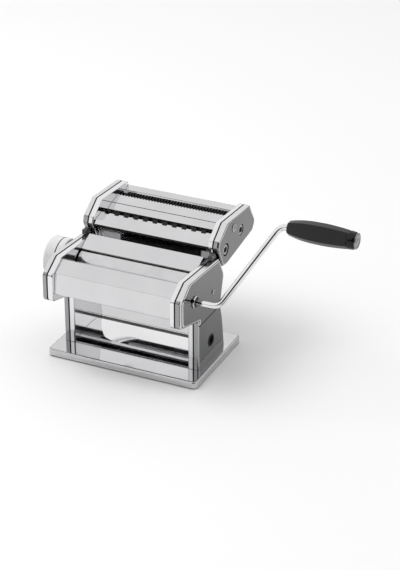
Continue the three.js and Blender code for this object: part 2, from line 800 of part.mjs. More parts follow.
const cutterFace = rounded([
  [8.0, 30.0, 5],
  [-17.0, 15.0, 3],
  [-19.4, 8.0, 4],
  [-6.3, -18.0, 3],
  [4.5, -19.4, 8],
  [79.5, -8.2, 6],
  [85.5, 1.3, 6],
  [68.6, 26.2, 5],
]);

function secondAxis({ y, z, tilt }) {
  const angle = THREE.MathUtils.degToRad(tilt);
  return [y + cutterDistance * Math.cos(angle), z + cutterDistance * Math.sin(angle)];
}

const fineRear = secondAxis(finePair);
const wideRear = secondAxis(widePair);
const cutterAxes = [[finePair.y, finePair.z], fineRear, [widePair.y, widePair.z], wideRear];

function cutterSide(name) {
  const group = new THREE.Group();
  group.scale.x = name === "right" ? 1 : -1;
  const bores = cutterAxes.map(([y, z]) => {
    return moved(hole(webInner - 1, webOuter + 1, cutter.journal / 2 + runningGap, 14), y, z);
  });
  group.add(piece(`${name}_cutter_frame`, sideFrame(cutterRim, bores), chrome));
  const openings = [];
  if (name === "right") {
    openings.push([cutterSocket.fineHole / 2, finePair.y, finePair.z]);
    openings.push([cutterSocket.wideHole / 2, widePair.y, widePair.z]);
    openings.push([cutterScrew.shank / 2 + gap, cutterScrew.y, cutterScrew.z]);
  }
  const holes = openings.map(([radius, y, z]) => moved(hole(coverInside - 3, faceX + 1, radius), y, z));
  group.add(piece(`${name}_cutter_cover`, sideCover(cutterRim, cutterFace, holes), satin));
  return group;
}

function cutterSheet(name, line) {
  return piece(name, prism(bent(line, -sheet), -sheetHalf, sheetHalf), brightSheet);
}

function cutterSheets() {
  const group = new THREE.Group();
  group.add(cutterSheet("rear_cutter_sheet", [
    [79.5, -7.5],
    [84.6, 1.0],
    [74.0, 23.0],
    [66.9, 18.0],
  ].reverse()));
  group.add(cutterSheet("middle_cutter_sheet", [
    [17.7, 12.8],
    [29.2, 16.8],
    [45.7, 20.8],
  ]));
  group.add(cutterSheet("front_cutter_sheet", [
    [-6.3, -16.9],
    [-19.6, 8.0],
    [-16.2, 12.5],
    [1.1, 15.9],
  ]));
  return group;
}

// One cutting roller: discs with grooves between them. Its partner is shifted by half a pitch.
// The narrow discs of the fine pair are drawn as sharp ridges, which mesh in the same way.
function cuttingRoller(name, { pitch, sides, isSharp }, isSecond, ends) {
  const half = roller.length / 2;
  const disc = isSharp ? 0 : pitch / 2 - cutter.sideGap;
  const ridge = isSharp ? pitch : disc;
  const deep = cutter.groove / 2;
  const high = cutter.disc / 2;
  const journal = cutter.journal / 2;
  const profile = [[-ends.left, 0], [-ends.left, journal], [-half, journal], [-half, deep]];
  const count = Math.floor((half - pitch / 2) / pitch);
  for (let i = -count; i <= count; i++) {
    const middle = (i + (isSecond ? 0.25 : -0.25)) * pitch;
    const before = [[middle - ridge / 2, deep], [middle - disc / 2, high]];
    const after = [[middle + disc / 2, high], [middle + ridge / 2, deep]];
    profile.push(...before, ...after);
  }
  profile.push([half, deep], [half, journal], [ends.right, journal], [ends.right, 0]);
  return piece(name, turned(profile, sides), steel);
}

function cutterDriveGear(name) {
  const start = cutterGearStart;
  const toothed = spurGear(cutterGear, start, 1, 0);
  const hub = bar(start, coverInside + 0.5, cutterSocket.outer / 2, 24);
  const core = bar(start, start + cutterGear.width, cutterSocket.outer / 2, 24);
  const body = cut(join(toothed, core, hub), socketBore(start + 1.2, faceX));
  return piece(name, body, steel);
}

function cutterDrivenGear(name) {
  const turn = Math.PI / cutterGear.teeth + Math.PI;
  return piece(name, spurGear(cutterGear, cutterGearStart, cutter.journal + 0.3, turn), steel);
}

function cuttingPair(name, pair, rear) {
  const group = new THREE.Group();
  const tilt = THREE.MathUtils.degToRad(pair.tilt);
  const gearEnd = cutterGearStart + cutterGear.width;
  const left = cutterGearStart;
  const first = cuttingRoller(`${name}_front_cutter`, pair, false, { left, right: cutterGearStart - gap });
  const second = cuttingRoller(`${name}_rear_cutter`, pair, true, { left, right: gearEnd + 0.8 });
  const place = (mesh, y, z, turn) => {
    mesh.position.set(0, y, z);
    mesh.rotation.x = turn;
    group.add(mesh);
  };
  place(first, pair.y, pair.z, 0);
  place(second, ...rear, 0);
  place(cutterDriveGear(`${name}_drive_gear`), pair.y, pair.z, tilt);
  place(cutterDrivenGear(`${name}_driven_gear`), ...rear, tilt);
  return group;
}

// A comb bar beside a cutting roller, which lifts the noodles out of its grooves.
function comb(name, pair) {
  const reach = cutter.disc / 2 + combBar.clear;
  const edge = [pair.y - reach * 0.5, pair.z - reach * Math.sqrt(0.75)];
  const line = [[edge[0] + 0.4, edge[1] - combBar.height], edge];
  return piece(name, prism(bent(line, combBar.thickness), -sheetHalf, sheetHalf), steel);
}

// The dark hooks that rest on the top of the body's side frames.
function cutterHook(name) {
  const group = new THREE.Group();
  group.scale.x = name === "right" ? 1 : -1;
  const outline = [point(-30.8, -2.9), point(-18.0, -3.7), point(-20.6, 2.8), point(-30.8, 3.2)];
  group.add(piece(`${name}_hook`, prism(outline, flangeEnd - 1, flangeEnd + 4), nylon));
  return group;
}

function cutterHanger() {
  const middle = railStart + rail.wall + rail.channel / 2 - cutterPlace.y;
  const bottom = railTop - rail.height + rail.wall + hanger.clear - cutterPlace.z;
  const half = hanger.thickness / 2;
  const outline = [
    point(middle - half, bottom),
    point(middle + half, bottom),
    point(middle + half, -18.6),
    point(middle - half, -18.0),
  ];
  return piece("cutter_hanger", prism(outline, gap - rail.half, rail.half - gap), steel);
}

// ---------- Assembly ----------

const machine = new THREE.Group();
machine.add(basePlate(), feet(), archedFloor(), bodySide("left"), bodySide("right"));
machine.add(frontCover(), hopperSheet(), rearCover(), bodyTieRod());
machine.add(scraper("front_scraper", frontAxisY, -1, sheetHalf));
machine.add(scraper("rear_scraper", rearAxisY, 1, roller.length / 2));

const frontShaft = new THREE.Group();
frontShaft.position.set(0, frontAxisY, axisHeight);
const driveGear = spurGear(gear, gearStart, socket.outer + 0.7, 0);
frontShaft.add(frontRoller(), driveSocket(), piece("drive_gear", driveGear, steel), crankRod());
machine.add(frontShaft);

const rearShaft = new THREE.Group();
rearShaft.position.set(0, rearAxisY, axisHeight);
const drivenGear = spurGear(gear, gearStart, roller.journal + 0.7, Math.PI / gear.teeth + Math.PI);
rearShaft.add(rearRoller(), piece("driven_gear", drivenGear, steel));
machine.add(rearShaft);

for (const side of ["left", "right"]) {
  const bearings = new THREE.Group();
  bearings.scale.x = side === "right" ? 1 : -1;
  bearings.add(frontBush(side), bearingBlock(side));
  machine.add(bearings);
}
const yokeHalf = webOuter + gap + block.thickness - 0.2;
const yokeBar = bar(-yokeHalf, yokeHalf, yoke.diameter / 2, 14);
machine.add(piece("yoke_bar", yokeBar, steel, [0, rearAxisY + yoke.ahead, axisHeight - yokeDrop]));

const knobGroup = new THREE.Group();
knobGroup.position.set(0, rearAxisY, axisHeight);
knobGroup.scale.x = -1;
knobGroup.add(knobShaft(), gapCam(), knobCup(), indexPin(), knobSpring());
machine.add(knobGroup);

const handleGroup = new THREE.Group();
handleGroup.position.set(0, frontAxisY + arm.back, axisHeight + arm.up);
handleGroup.add(handleGrip(), handleCap());
machine.add(handleGroup);

const sideScrew = screw("right_cover_screw", coverScrew, steel);
sideScrew.position.set(0, coverScrewPlace.y, coverScrewPlace.z);
machine.add(sideScrew, clampSocket(), cutterRail());

const noodleCutter = new THREE.Group();
noodleCutter.position.set(0, cutterPlace.y, cutterPlace.z);
noodleCutter.add(cutterSide("left"), cutterSide("right"), cutterSheets());
noodleCutter.add(cuttingPair("fine", finePair, fineRear), cuttingPair("wide", widePair, wideRear));
noodleCutter.add(comb("fine_comb", finePair), comb("wide_comb", widePair));
noodleCutter.add(cutterHook("left"), cutterHook("right"), cutterHanger());
const cutterRod = bar(-sheetHalf, sheetHalf, cutterTie.diameter / 2, 14);
noodleCutter.add(piece("cutter_tie_rod", cutterRod, steel, [0, cutterTie.y, cutterTie.z]));
const secondScrew = screw("cutter_cover_screw", cutterScrew, steel);
secondScrew.position.set(0, cutterScrew.y, cutterScrew.z);
noodleCutter.add(secondScrew);
machine.add(noodleCutter);

machine.updateMatrixWorld(true);
const bounds = new THREE.Box3().setFromObject(machine, true);
const middle = bounds.getCenter(new THREE.Vector3());
machine.position.set(-middle.x, -middle.y, -bounds.min.z);

export default machine;
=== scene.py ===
import json
from math import acos, atan2, cos, floor, pi, radians, sin, tan

import bmesh
import bpy
from mathutils import Matrix, Vector


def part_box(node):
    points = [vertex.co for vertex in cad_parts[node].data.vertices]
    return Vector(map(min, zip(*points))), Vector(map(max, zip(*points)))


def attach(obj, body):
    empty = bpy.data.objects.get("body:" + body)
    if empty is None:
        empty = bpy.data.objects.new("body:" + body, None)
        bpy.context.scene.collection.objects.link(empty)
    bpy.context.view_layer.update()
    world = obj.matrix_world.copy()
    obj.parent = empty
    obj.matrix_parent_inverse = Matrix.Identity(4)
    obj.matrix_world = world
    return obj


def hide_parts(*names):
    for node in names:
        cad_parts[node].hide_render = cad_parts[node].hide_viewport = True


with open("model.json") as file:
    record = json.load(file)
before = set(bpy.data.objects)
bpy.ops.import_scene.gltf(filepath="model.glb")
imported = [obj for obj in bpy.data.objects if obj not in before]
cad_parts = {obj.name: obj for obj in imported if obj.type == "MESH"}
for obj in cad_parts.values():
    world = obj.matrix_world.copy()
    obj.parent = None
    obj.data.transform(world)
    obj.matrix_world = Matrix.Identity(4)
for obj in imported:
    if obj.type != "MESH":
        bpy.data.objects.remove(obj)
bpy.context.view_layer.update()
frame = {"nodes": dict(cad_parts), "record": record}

# A hand-cranked pasta roller with a noodle cutter on its back. Outlines are in millimetres.
mm = 0.001
scene = bpy.context.scene
bodies = frame["record"]["behaviour"]["bodies"]
bodyOf = {node: body for body, nodes in bodies.items() for node in nodes}
print("frame loaded:", len(bodyOf), "nodes")


def nodeBox(node):
    low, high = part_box(node)
    return low / mm, high / mm


def middleOf(node):
    low, high = nodeBox(node)
    return (low + high) / 2


# Places that everything else is drawn from, read off the frame
frontAxis = middleOf("front_roller")
rearAxis = middleOf("rear_roller")
cutterAxis = middleOf("wide_front_cutter")
midX = frontAxis.x
rollerRadius = nodeBox("front_roller")[1].z - frontAxis.z
rollerHalf = 75
headTop = frontAxis.z + rollerRadius
webInner = nodeBox("right_frame")[0].x - midX
flangeEnd = nodeBox("right_frame")[1].x - midX
coverStart = nodeBox("right_cover")[0].x - midX
faceX = nodeBox("right_cover")[1].x - midX
sheetHalf = nodeBox("front_cover")[1].x - midX
legBottom = nodeBox("right_frame")[0].z
floorLow, floorHigh = nodeBox("floor_sheet")


# Outlines

def roundedOutline(corners, steps=9):
    # corners are (y, z) or (y, z, radius), anticlockwise
    outline = []
    for i, corner in enumerate(corners):
        here = Vector(corner[:2])
        if len(corner) < 3:
            outline.append(here)
            continue
        before = (Vector(corners[i - 1][:2]) - here).normalized()
        after = (Vector(corners[(i + 1) % len(corners)][:2]) - here).normalized()
        half = acos(before.dot(after)) / 2
        centre = here + (before + after).normalized() * corner[2] / sin(half)
        start = here + before * corner[2] / tan(half) - centre
        end = here + after * corner[2] / tan(half) - centre
        sweep = atan2(start.x * end.y - start.y * end.x, start.dot(end))
        for k in range(steps + 1):
            outline.append(centre + Matrix.Rotation(sweep * k / steps, 2) @ start)
    return outline


def insetOutline(outline, distance):
    moved = []
    for i, here in enumerate(outline):
        before = (here - outline[i - 1]).normalized()
        after = (outline[(i + 1) % len(outline)] - here).normalized()
        inwards = Vector((-before.y - after.y, before.x + after.x))
        moved.append(here + inwards * distance / (1 + before.dot(after)))
    return moved


def foldedLine(line, bendRadius, creases, steps=6):
    # an open line whose inner corners are rounded, or pressed in as a narrow crease
    path = [Vector(line[0])]
    for i in range(1, len(line) - 1):
        here = Vector(line[i])
        before = (Vector(line[i - 1]) - here).normalized()
        after = (Vector(line[i + 1]) - here).normalized()
        half = acos(max(-1, min(1, before.dot(after)))) / 2
        if i in creases:
            inwards = Vector((before.y - after.y, after.x - before.x)).normalized()
            reach, depth = sheetSettings["creaseHalf"], sheetSettings["creaseDepth"]
            path += [here + before * reach, here + inwards * depth, here + after * reach]
            continue
        centre = here + (before + after).normalized() * bendRadius / sin(half)
        start = here + before * bendRadius / tan(half) - centre
        end = here + after * bendRadius / tan(half) - centre
        sweep = atan2(start.x * end.y - start.y * end.x, start.dot(end))
        for k in range(steps + 1):
            path.append(centre + Matrix.Rotation(sweep * k / steps, 2) @ start)
    path.append(Vector(line[-1]))
    return path


def thickened(path, thickness):
    # the two sides of a folded sheet; a positive thickness goes to the line's left
    far = []
    for i, here in enumerate(path):
        before = (here - path[max(i - 1, 0)]).normalized()
        after = (path[min(i + 1, len(path) - 1)] - here).normalized()
        if i == 0:
            before = after
        if i == len(path) - 1:
            after = before
        left = Vector((-before.y - after.y, before.x + after.x))
        far.append(here + left * thickness / (1 + before.dot(after)))
    return far


# Meshes

def alongX(x, p):
    return Vector((midX + x, p.x, p.y))


def loft(rings, place=alongX, isRing=False):
    # rings are (distance, outline) with equal counts; both ends are closed, or meet each other
    count = len(rings[0][1])
    verts = [place(x, p) for x, outline in rings for p in outline]
    faces = []
    for r in range(len(rings) - 1):
        for i in range(count):
            a, b = r * count + i, r * count + (i + 1) % count
            faces.append((a, b, b + count, a + count))
    last = (len(rings) - 1) * count
    if isRing:
        for i in range(count):
            n = (i + 1) % count
            faces.append((last + i, last + n, n, i))
    else:
        faces.append(tuple(range(count)))
        faces.append(tuple(range(last, last + count)))
    return verts, faces


def joined(meshes):
    verts, faces = [], []
    for moreVerts, moreFaces in meshes:
        faces += [tuple(i + len(verts) for i in face) for face in moreFaces]
        verts += moreVerts
    return verts, faces


def turned(profile, y, z, sides=64, twist=0.0):
    # a profile of (x, radius) turned about a line along X
    ends = [profile[0][1] == 0, profile[-1][1] == 0]
    verts, rings = [], []
    for x, radius in profile:
        if radius == 0:
            rings.append([len(verts)] * sides)
            verts.append(Vector((midX + x, y, z)))
            continue
        rings.append(list(range(len(verts), len(verts) + sides)))
        for k in range(sides):
            angle = twist + 2 * pi * k / sides
            verts.append(Vector((midX + x, y + radius * cos(angle), z + radius * sin(angle))))
    faces = []
    for before, after in zip(rings, rings[1:]):
        for k in range(sides):
            n = (k + 1) % sides
            corners = [before[k], before[n], after[n], after[k]]
            face = [c for i, c in enumerate(corners) if c not in corners[:i]]
            if len(face) > 2:
                faces.append(tuple(face))
    if not all(ends):
        for k in range(sides):
            n = (k + 1) % sides
            faces.append((rings[-1][k], rings[-1][n], rings[0][n], rings[0][k]))
    return verts, faces


def boxMesh(low, high):
    xs, ys, zs = zip(low, high)
    verts = [Vector((x, y, z)) for x in xs for y in ys for z in zs]
    faces = [(0, 1, 3, 2), (4, 6, 7, 5), (0, 4, 5, 1), (2, 3, 7, 6), (0, 2, 6, 4), (1, 5, 7, 3)]
    return verts, faces


def newObject(name, verts, faces):
    mesh = bpy.data.meshes.new(name)
    mesh.from_pydata([v * mm for v in verts], [], faces)
    work = bmesh.new()
    work.from_mesh(mesh)
    bmesh.ops.remove_doubles(work, verts=work.verts, dist=1e-7)
    bmesh.ops.recalc_face_normals(work, faces=work.faces)
    work.to_mesh(mesh)
    work.free()
    piece = bpy.data.objects.new(name, mesh)
    scene.collection.objects.link(piece)
    return piece


def settled(piece):
    # the piece with its modifiers applied
    graph = bpy.context.evaluated_depsgraph_get()
    old = piece.data
    piece.data = bpy.data.meshes.new_from_object(piece.evaluated_get(graph))
    piece.modifiers.clear()
    piece.data.name = piece.name
    bpy.data.meshes.remove(old)
    return piece


def carve(piece, cutters, operation="DIFFERENCE"):
    for verts, faces in cutters:
        tool = newObject("cutter_tool", verts, faces)
        step = piece.modifiers.new("carve", "BOOLEAN")
        step.operation = operation
        step.solver = "EXACT"
        step.object = tool
        settled(piece)
        toolMesh = tool.data
        bpy.data.objects.remove(tool)
        bpy.data.meshes.remove(toolMesh)
    return piece


def dress(piece, node, materials, bevel=0.0, pick=None, sharpAngle=35, segments=2):
    # materials, soft edges and shading, and the body of the node it stands for
    for material in materials:
        piece.data.materials.append(material)
    if pick:
        for polygon in piece.data.polygons:
            polygon.material_index = pick(polygon.center / mm, polygon.normal)
    if bevel:
        edge = piece.modifiers.new("edges", "BEVEL")
        edge.width = bevel * mm
        edge.segments = segments
        edge.limit_method = "ANGLE"
        edge.angle_limit = radians(sharpAngle)
        edge.miter_outer = "MITER_ARC"
        settled(piece)
    piece.data.shade_smooth()
    piece.data.set_sharp_from_angle(angle=radians(sharpAngle))
    weighted = piece.modifiers.new("normals", "WEIGHTED_NORMAL")
    weighted.keep_sharp = True
    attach(piece, bodyOf[node])
    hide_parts(node)
    return piece


# Materials

def finish(name, color, metallic, roughness, detail):
    # one finish: drifting colour, smudged roughness and a fine surface pattern
    material = bpy.data.materials.new(name)
    material.use_nodes = True
    tree = material.node_tree
    shader = tree.nodes["Principled BSDF"]
    shader.inputs["Metallic"].default_value = metallic
    if "coat" in detail:
        shader.inputs["Coat Weight"].default_value = detail["coat"]
        shader.inputs["Coat Roughness"].default_value = 0.06
    if "specular" in detail:
        shader.inputs["Specular IOR Level"].default_value = detail["specular"]
    place = tree.nodes.new("ShaderNodeTexCoord")

    def noise(scale, stretch=(1, 1, 1), depth=3.0, rough=0.55):
        mapping = tree.nodes.new("ShaderNodeMapping")
        mapping.inputs["Scale"].default_value = stretch
        tree.links.new(place.outputs["Object"], mapping.inputs["Vector"])
        texture = tree.nodes.new("ShaderNodeTexNoise")
        texture.inputs["Scale"].default_value = scale
        texture.inputs["Detail"].default_value = depth
        texture.inputs["Roughness"].default_value = rough
        tree.links.new(mapping.outputs["Vector"], texture.inputs["Vector"])
        return texture.outputs["Fac"]

    def ranged(source, low, high, start=0.3, end=0.7):
        node = tree.nodes.new("ShaderNodeMapRange")
        node.inputs["From Min"].default_value = start
        node.inputs["From Max"].default_value = end
        node.inputs["To Min"].default_value = low
        node.inputs["To Max"].default_value = high
        tree.links.new(source, node.inputs["Value"])
        return node.outputs["Result"]

    # colour: patches of a slightly darker tone, as from handling
    dark = [c * (1 - detail["drift"]) for c in color]
    blend = tree.nodes.new("ShaderNodeMix")
    blend.data_type = "RGBA"
    blend.inputs["A"].default_value = (*color, 1)
    blend.inputs["B"].default_value = (*dark, 1)
    tree.links.new(ranged(noise(detail["patch"]), 0, 1), blend.inputs["Factor"])
    tree.links.new(blend.outputs["Result"], shader.inputs["Base Color"])

    # roughness: smudges plus fine grain
    smudge = ranged(noise(detail["smudge"], depth=5.0), roughness[0], roughness[1], 0.35, 0.7)
    tree.links.new(smudge, shader.inputs["Roughness"])

    # bump: hairlines, machining marks or moulded grain
    fine = noise(detail["grain"], detail["stretch"], depth=2.0)
    bump = tree.nodes.new("ShaderNodeBump")
    bump.inputs["Strength"].default_value = detail["depth"]
    bump.inputs["Distance"].default_value = detail.get("height", 0.03) * mm
    tree.links.new(fine, bump.inputs["Height"])
    if "wave" in detail:
        broad = tree.nodes.new("ShaderNodeBump")
        broad.inputs["Strength"].default_value = detail["wave"]
        broad.inputs["Distance"].default_value = 0.2 * mm
        tree.links.new(noise(detail.get("waveScale", 14), depth=1.0), broad.inputs["Height"])
        tree.links.new(broad.outputs["Normal"], bump.inputs["Normal"])
    tree.links.new(bump.outputs["Normal"], shader.inputs["Normal"])
    return material


polished = {
    "drift": 0.06, "patch": 25, "smudge": 60, "grain": 900, "stretch": (0.06, 1, 1),
    "depth": 0.05, "wave": 0.02,
}
satin = {"drift": 0.08, "patch": 30, "smudge": 80, "grain": 1400, "stretch": (1, 1, 0.05), "depth": 0.12}
ground = {"drift": 0.12, "patch": 60, "smudge": 150, "grain": 2600, "stretch": (1, 0.05, 0.05), "depth": 0.2}
moulded = {
    "drift": 0.12, "patch": 60, "smudge": 200, "grain": 2600, "stretch": (1, 1, 1),
    "depth": 0.25, "height": 0.05,
}
shinyMoulded = moulded | {"specular": 0.3}
coatedMoulded = moulded | {"drift": 0.03, "coat": 0.3}

chrome = finish("polished_chrome", (0.80, 0.80, 0.81), 1, (0.05, 0.10), polished)
brightSheet = finish("bright_sheet", (0.66, 0.66, 0.67), 1, (0.05, 0.10), polished)
# painted shade: a darker copy of the sheet chrome, for sheet stretches that lie in shade or show a dark
# reflection
paintedShadeSheet = finish("painted_shade_sheet", (0.36, 0.36, 0.365), 1, (0.06, 0.12), polished)
baseChrome = finish("base_chrome", (0.62, 0.62, 0.63), 1, (0.04, 0.09), polished)
# painted shade: the side covers' flat faces are the same chrome as their edges, darkened to paint the grey
# reflection they show
coverFaceShade = finish("cover_face_painted_shade", (0.165, 0.165, 0.168), 1, (0.07, 0.14), satin)
coverEdge = finish("cover_edge", (0.70, 0.70, 0.71), 1, (0.05, 0.10), polished)
edgeShade = finish("edge_shade", (0.34, 0.34, 0.345), 1, (0.06, 0.12), polished)
# painted shade: near-black steel on inner sides, recesses, seams, creases and fold lines, standing for the
# shade and dark reflections there
paintedShade = finish("painted_shade", (0.035, 0.035, 0.037), 1, (0.35, 0.5), satin)
rollerMetal = finish("roller_metal", (0.66, 0.66, 0.67), 1, (0.10, 0.18), ground)
cutterSteel = finish("cutter_steel", (0.03, 0.03, 0.032), 1, (0.25, 0.4), ground)
capSteel = finish("cap_steel", (0.30, 0.30, 0.305), 1, (0.22, 0.34), ground)
plainSteel = finish("plain_steel", (0.42, 0.42, 0.43), 1, (0.22, 0.36), ground)
blackPlastic = finish("black_plastic", (0.008, 0.008, 0.0085), 0, (0.12, 0.2), shinyMoulded)
knobPlastic = finish("knob_plastic", (0.74, 0.74, 0.75), 0, (0.22, 0.34), coatedMoulded)
hangerSteel = finish("hanger_steel", (0.45, 0.45, 0.455), 0.2, (0.3, 0.5), satin)
hookNylon = finish("hook_nylon", (0.10, 0.10, 0.102), 0, (0.35, 0.5), moulded)
darkNylon = finish("dark_nylon", (0.03, 0.03, 0.032), 0, (0.35, 0.5), moulded)
footRubber = finish("foot_rubber", (0.02, 0.02, 0.02), 0, (0.6, 0.8), moulded | {"depth": 0.5})
print("materials ready")

# The slot of each node; the rest are plain steel
slotNames = {
    "polished_chrome": ("base_plate", "floor_sheet", "left_frame", "right_frame", "left_cutter_frame",
                        "right_cutter_frame", "crank_rod", "handle_cap"),
    "cover_chrome": ("left_cover", "right_cover", "left_cutter_cover", "right_cutter_cover"),
    "bright_sheet": ("front_cover", "hopper_sheet", "rear_cover", "front_cutter_sheet", "middle_cutter_sheet",
                     "rear_cutter_sheet"),
    "roller_metal": ("front_roller", "rear_roller"),
    "cutter_steel": ("fine_front_cutter", "fine_rear_cutter", "wide_front_cutter", "wide_rear_cutter"),
    "black_plastic": ("handle",),
    "knob_plastic": ("knob",),
    "dark_nylon": ("left_bush", "right_bush", "left_bearing_block", "right_bearing_block", "clamp_socket",
                   "left_hook", "right_hook"),
    "foot_rubber": ("foot_front_left", "foot_front_right", "foot_rear_left", "foot_rear_right"),
}
slotOf = {node: "plain_steel" for node in bodyOf}
slotOf.update({node: slot for slot, nodes in slotNames.items() for node in nodes})

# Camera

cameraSettings = {
    "location": (0.828249, -1.806156, 1.134713),
    "forward": (-0.373396, 0.803681, -0.463327),
    "up": (-0.194520, 0.420517, 0.886187),
    "lens": 118.0,
}
camera = bpy.data.objects.new("camera", bpy.data.cameras.new("camera"))
scene.collection.objects.link(camera)
backwards = -Vector(cameraSettings["forward"])
up = Vector(cameraSettings["up"])
turn = Matrix((up.cross(backwards), up, backwards)).transposed()
camera.matrix_world = Matrix.Translation(cameraSettings["location"]) @ turn.to_4x4()
camera.data.lens = cameraSettings["lens"]
scene.camera = camera

# Base, feet and floor sheet

base = {"corner": 6, "edge": 2.4, "wall": 1.2, "hem": 0.5}


def buildBase():
    low, high = nodeBox("base_plate")
    halfX, halfY = (high.x - low.x) / 2, (high.y - low.y) / 2
    centreY = (high.y + low.y) / 2
    signs = [(-1, -1), (1, -1), (1, 1), (-1, 1)]
    outer = roundedOutline([(sx * halfX, sy * halfY, base["corner"]) for sx, sy in signs])
    top = high.z - base["edge"]

    def upright(z, p):
        return Vector((midX + p.x, centreY + p.y, z))

    def edgeRings(outline, edge, lift):
        rings = []
        for k in range(7):
            angle = k * pi / 12
            rings.append((lift + edge * sin(angle), insetOutline(outline, edge * (1 - cos(angle)))))
        return rings

    inner = insetOutline(outer, base["wall"])
    innerEdge = base["edge"] - base["wall"]
    rings = [(low.z + base["hem"], inner), (top, inner)][::-1]
    rings = edgeRings(inner, innerEdge, top)[::-1] + rings
    for inset in (base["wall"] - base["hem"], base["hem"]):
        rings.append((low.z, insetOutline(outer, inset)))
    rings += [(low.z + base["hem"], outer)] + edgeRings(outer, base["edge"], top)
    piece = newObject("base_plate_pressing", *loft(rings, upright))

    def pick(centre, normal):
        # the fold of the edge and its hem are painted dark: thin painted lines for the dark reflection in the
        # fold and the shade under the hem
        isShadedFold = centre.z > top and 0.85 < normal.z < 0.97
        return 1 if isShadedFold or centre.z < low.z + base["hem"] else 0

    dress(piece, "base_plate", [baseChrome, paintedShade], pick=pick)


def buildFeet():
    for node in slotNames["foot_rubber"]:
        low, high = nodeBox(node)
        radius = (high.x - low.x) / 2
        centre = (low + high) / 2
        profile = [(low.z, 0), (low.z, radius - 2.6), (low.z + 0.5, radius - 2.2)]
        profile += [(low.z + 0.5, radius - 1.4), (low.z + 0.2, radius - 1.2), (low.z + 1.2, radius - 0.4)]
        profile += [(high.z, radius), (high.z, 0)]
        verts, faces = turned(profile, 0, 0, 40)
        stood = [Vector((centre.x + v.y, centre.y + v.z, v.x - midX)) for v in verts]
        dress(newObject(node + "_pad", stood, faces), node, [footRubber], bevel=0.2)


def buildFloorSheet():
    thickness = 1.0
    rise = floorHigh.z - floorLow.z - thickness
    half = (floorHigh.y - floorLow.y) / 2 - 0.3
    centreY = (floorHigh.y + floorLow.y) / 2
    radius = (half ** 2 + rise ** 2) / (2 * rise)
    spread = atan2(half, radius - rise)
    steps = 48
    path = []
    for i in range(steps + 1):
        angle = spread * (2 * i / steps - 1)
        path.append(Vector((centreY + radius * sin(angle), floorLow.z + rise - radius * (1 - cos(angle)))))
    dress(stripPiece("floor_sheet_arch", path, thickness), "floor_sheet", [chrome], bevel=0.15)


def stripPiece(name, path, thickness):
    outline = list(path) + thickened(path, thickness)[::-1]
    return newObject(name, *loft([(-sheetHalf, outline), (sheetHalf, outline)]))


buildBase()
buildFeet()
buildFloorSheet()
print("base done")

# Side frames and covers

pressed = {"web": 1.5, "edge": 1.2, "bend": 1.6, "straight": 4.6, "wall": 1.2, "round": 8, "seam": 0.4,
           "shadeLip": (1.3, 2.2), "lipBehind": 1.5, "lipAhead": 1.0,  # the shade lip's insets and its reach
           "foldShadeLine": (0.83, 0.925)}  # a painted dark reflection line on the bend, as shares of its depth
legFront = floorLow.y - 0.7
legBack = floorHigh.y - 0.8
fy, ry, az, rr = frontAxis.y, rearAxis.y, frontAxis.z, rollerRadius

bodyRim = roundedOutline([
    (fy - 12.4, headTop + 12.4, 4),
    (fy - rr - 20.2, headTop - 2, 7),
    (fy - rr - 20.6, az - rr - 3.2, 7),
    (legFront, az - rr - 17.4, 4),
    (legFront, legBottom),
    (legBack, legBottom),
    (legBack - 6.5, az - rr - 44.2, 20),
    (ry + rr + 22.7, az - rr - 23.2, 15),
    (ry + rr + 33.2, az - 2.5, 12),
    (ry + rr + 18.5, headTop + 6.6, 3),
])
bodyFace = roundedOutline([
    (fy - 9.5, headTop + 9.2, 4),
    (fy - rr - 13.2, headTop - 5.2, 7),
    (fy - rr - 12.6, az - rr - 2.2, 7),
    (legFront + 4.5, az - rr - 15.0, 4),
    (legFront + 6, legBottom),
    (legBack - 5.6, legBottom),
    (legBack - 11, az - rr - 44.2, 20),
    (ry + rr + 19.0, az - rr - 23.2, 15),
    (ry + rr + 29.5, az - 2.5, 12),
    (ry + rr + 16.8, headTop + 3.6, 3),
])
cy, cz = cutterAxis.y, cutterAxis.z + 0.8
cutterRim = roundedOutline([(cy + y, cz + z, r) for y, z, r in [
    (3.0, 32.3, 5), (-19.0, 17.0, 3), (-21.9, 9.0, 4), (-7.4, -20.2, 3),
    (3.5, -21.8, 8), (81.5, -10.5, 6), (88.35, 1.0, 6), (72.5, 27.6, 5),
]])
cutterFace = roundedOutline([(cy + y, cz + z, r) for y, z, r in [
    (8.0, 30.0, 5), (-17.0, 15.0, 3), (-19.4, 8.0, 4), (-6.3, -18.0, 3),
    (4.5, -19.4, 8), (79.5, -8.2, 6), (85.5, 1.3, 6), (68.6, 26.2, 5),
]])


def rod(x0, x1, y, z, radius, sides=48):
    return turned([(x0, 0), (x0, radius), (x1, radius), (x1, 0)], y, z, sides)


def mirroredX(mesh, isLeft):
    verts, faces = mesh
    if isLeft:
        verts = [Vector((2 * midX - v.x, v.y, v.z)) for v in verts]
    return verts, faces


def buildFrame(node, rim, openings):
    isLeft = node.startswith("left")
    web = webInner + pressed["web"]
    rings = []
    for k in range(6):
        angle = k * pi / 10
        shrink = pressed["bend"] * (1 - sin(angle))
        rings.append((webInner + pressed["bend"] * (1 - cos(angle)), insetOutline(rim, shrink)))
    end = flangeEnd - pressed["seam"]
    rings += [(end, rim), (end, insetOutline(rim, pressed["edge"]))]
    rings += [(web, insetOutline(rim, pressed["edge"]))]
    piece = newObject(node + "_pressing", *mirroredX(loft(rings), isLeft))
    carve(piece, [mirroredX(opening, isLeft) for opening in openings])
    outward = -1 if isLeft else 1

    # the inner pan of the frame, under the cover, is painted dark, as painted shade
    def pick(centre, normal):
        isShadedPan = (centre.x - midX) * outward > webInner + pressed["web"] - 0.1 and normal.x * outward > 0.9
        return 1 if isShadedPan and (centre.x - midX) * outward < flangeEnd - 0.3 else 0

    return dress(piece, node, [chrome, paintedShade], bevel=0.2, pick=pick)


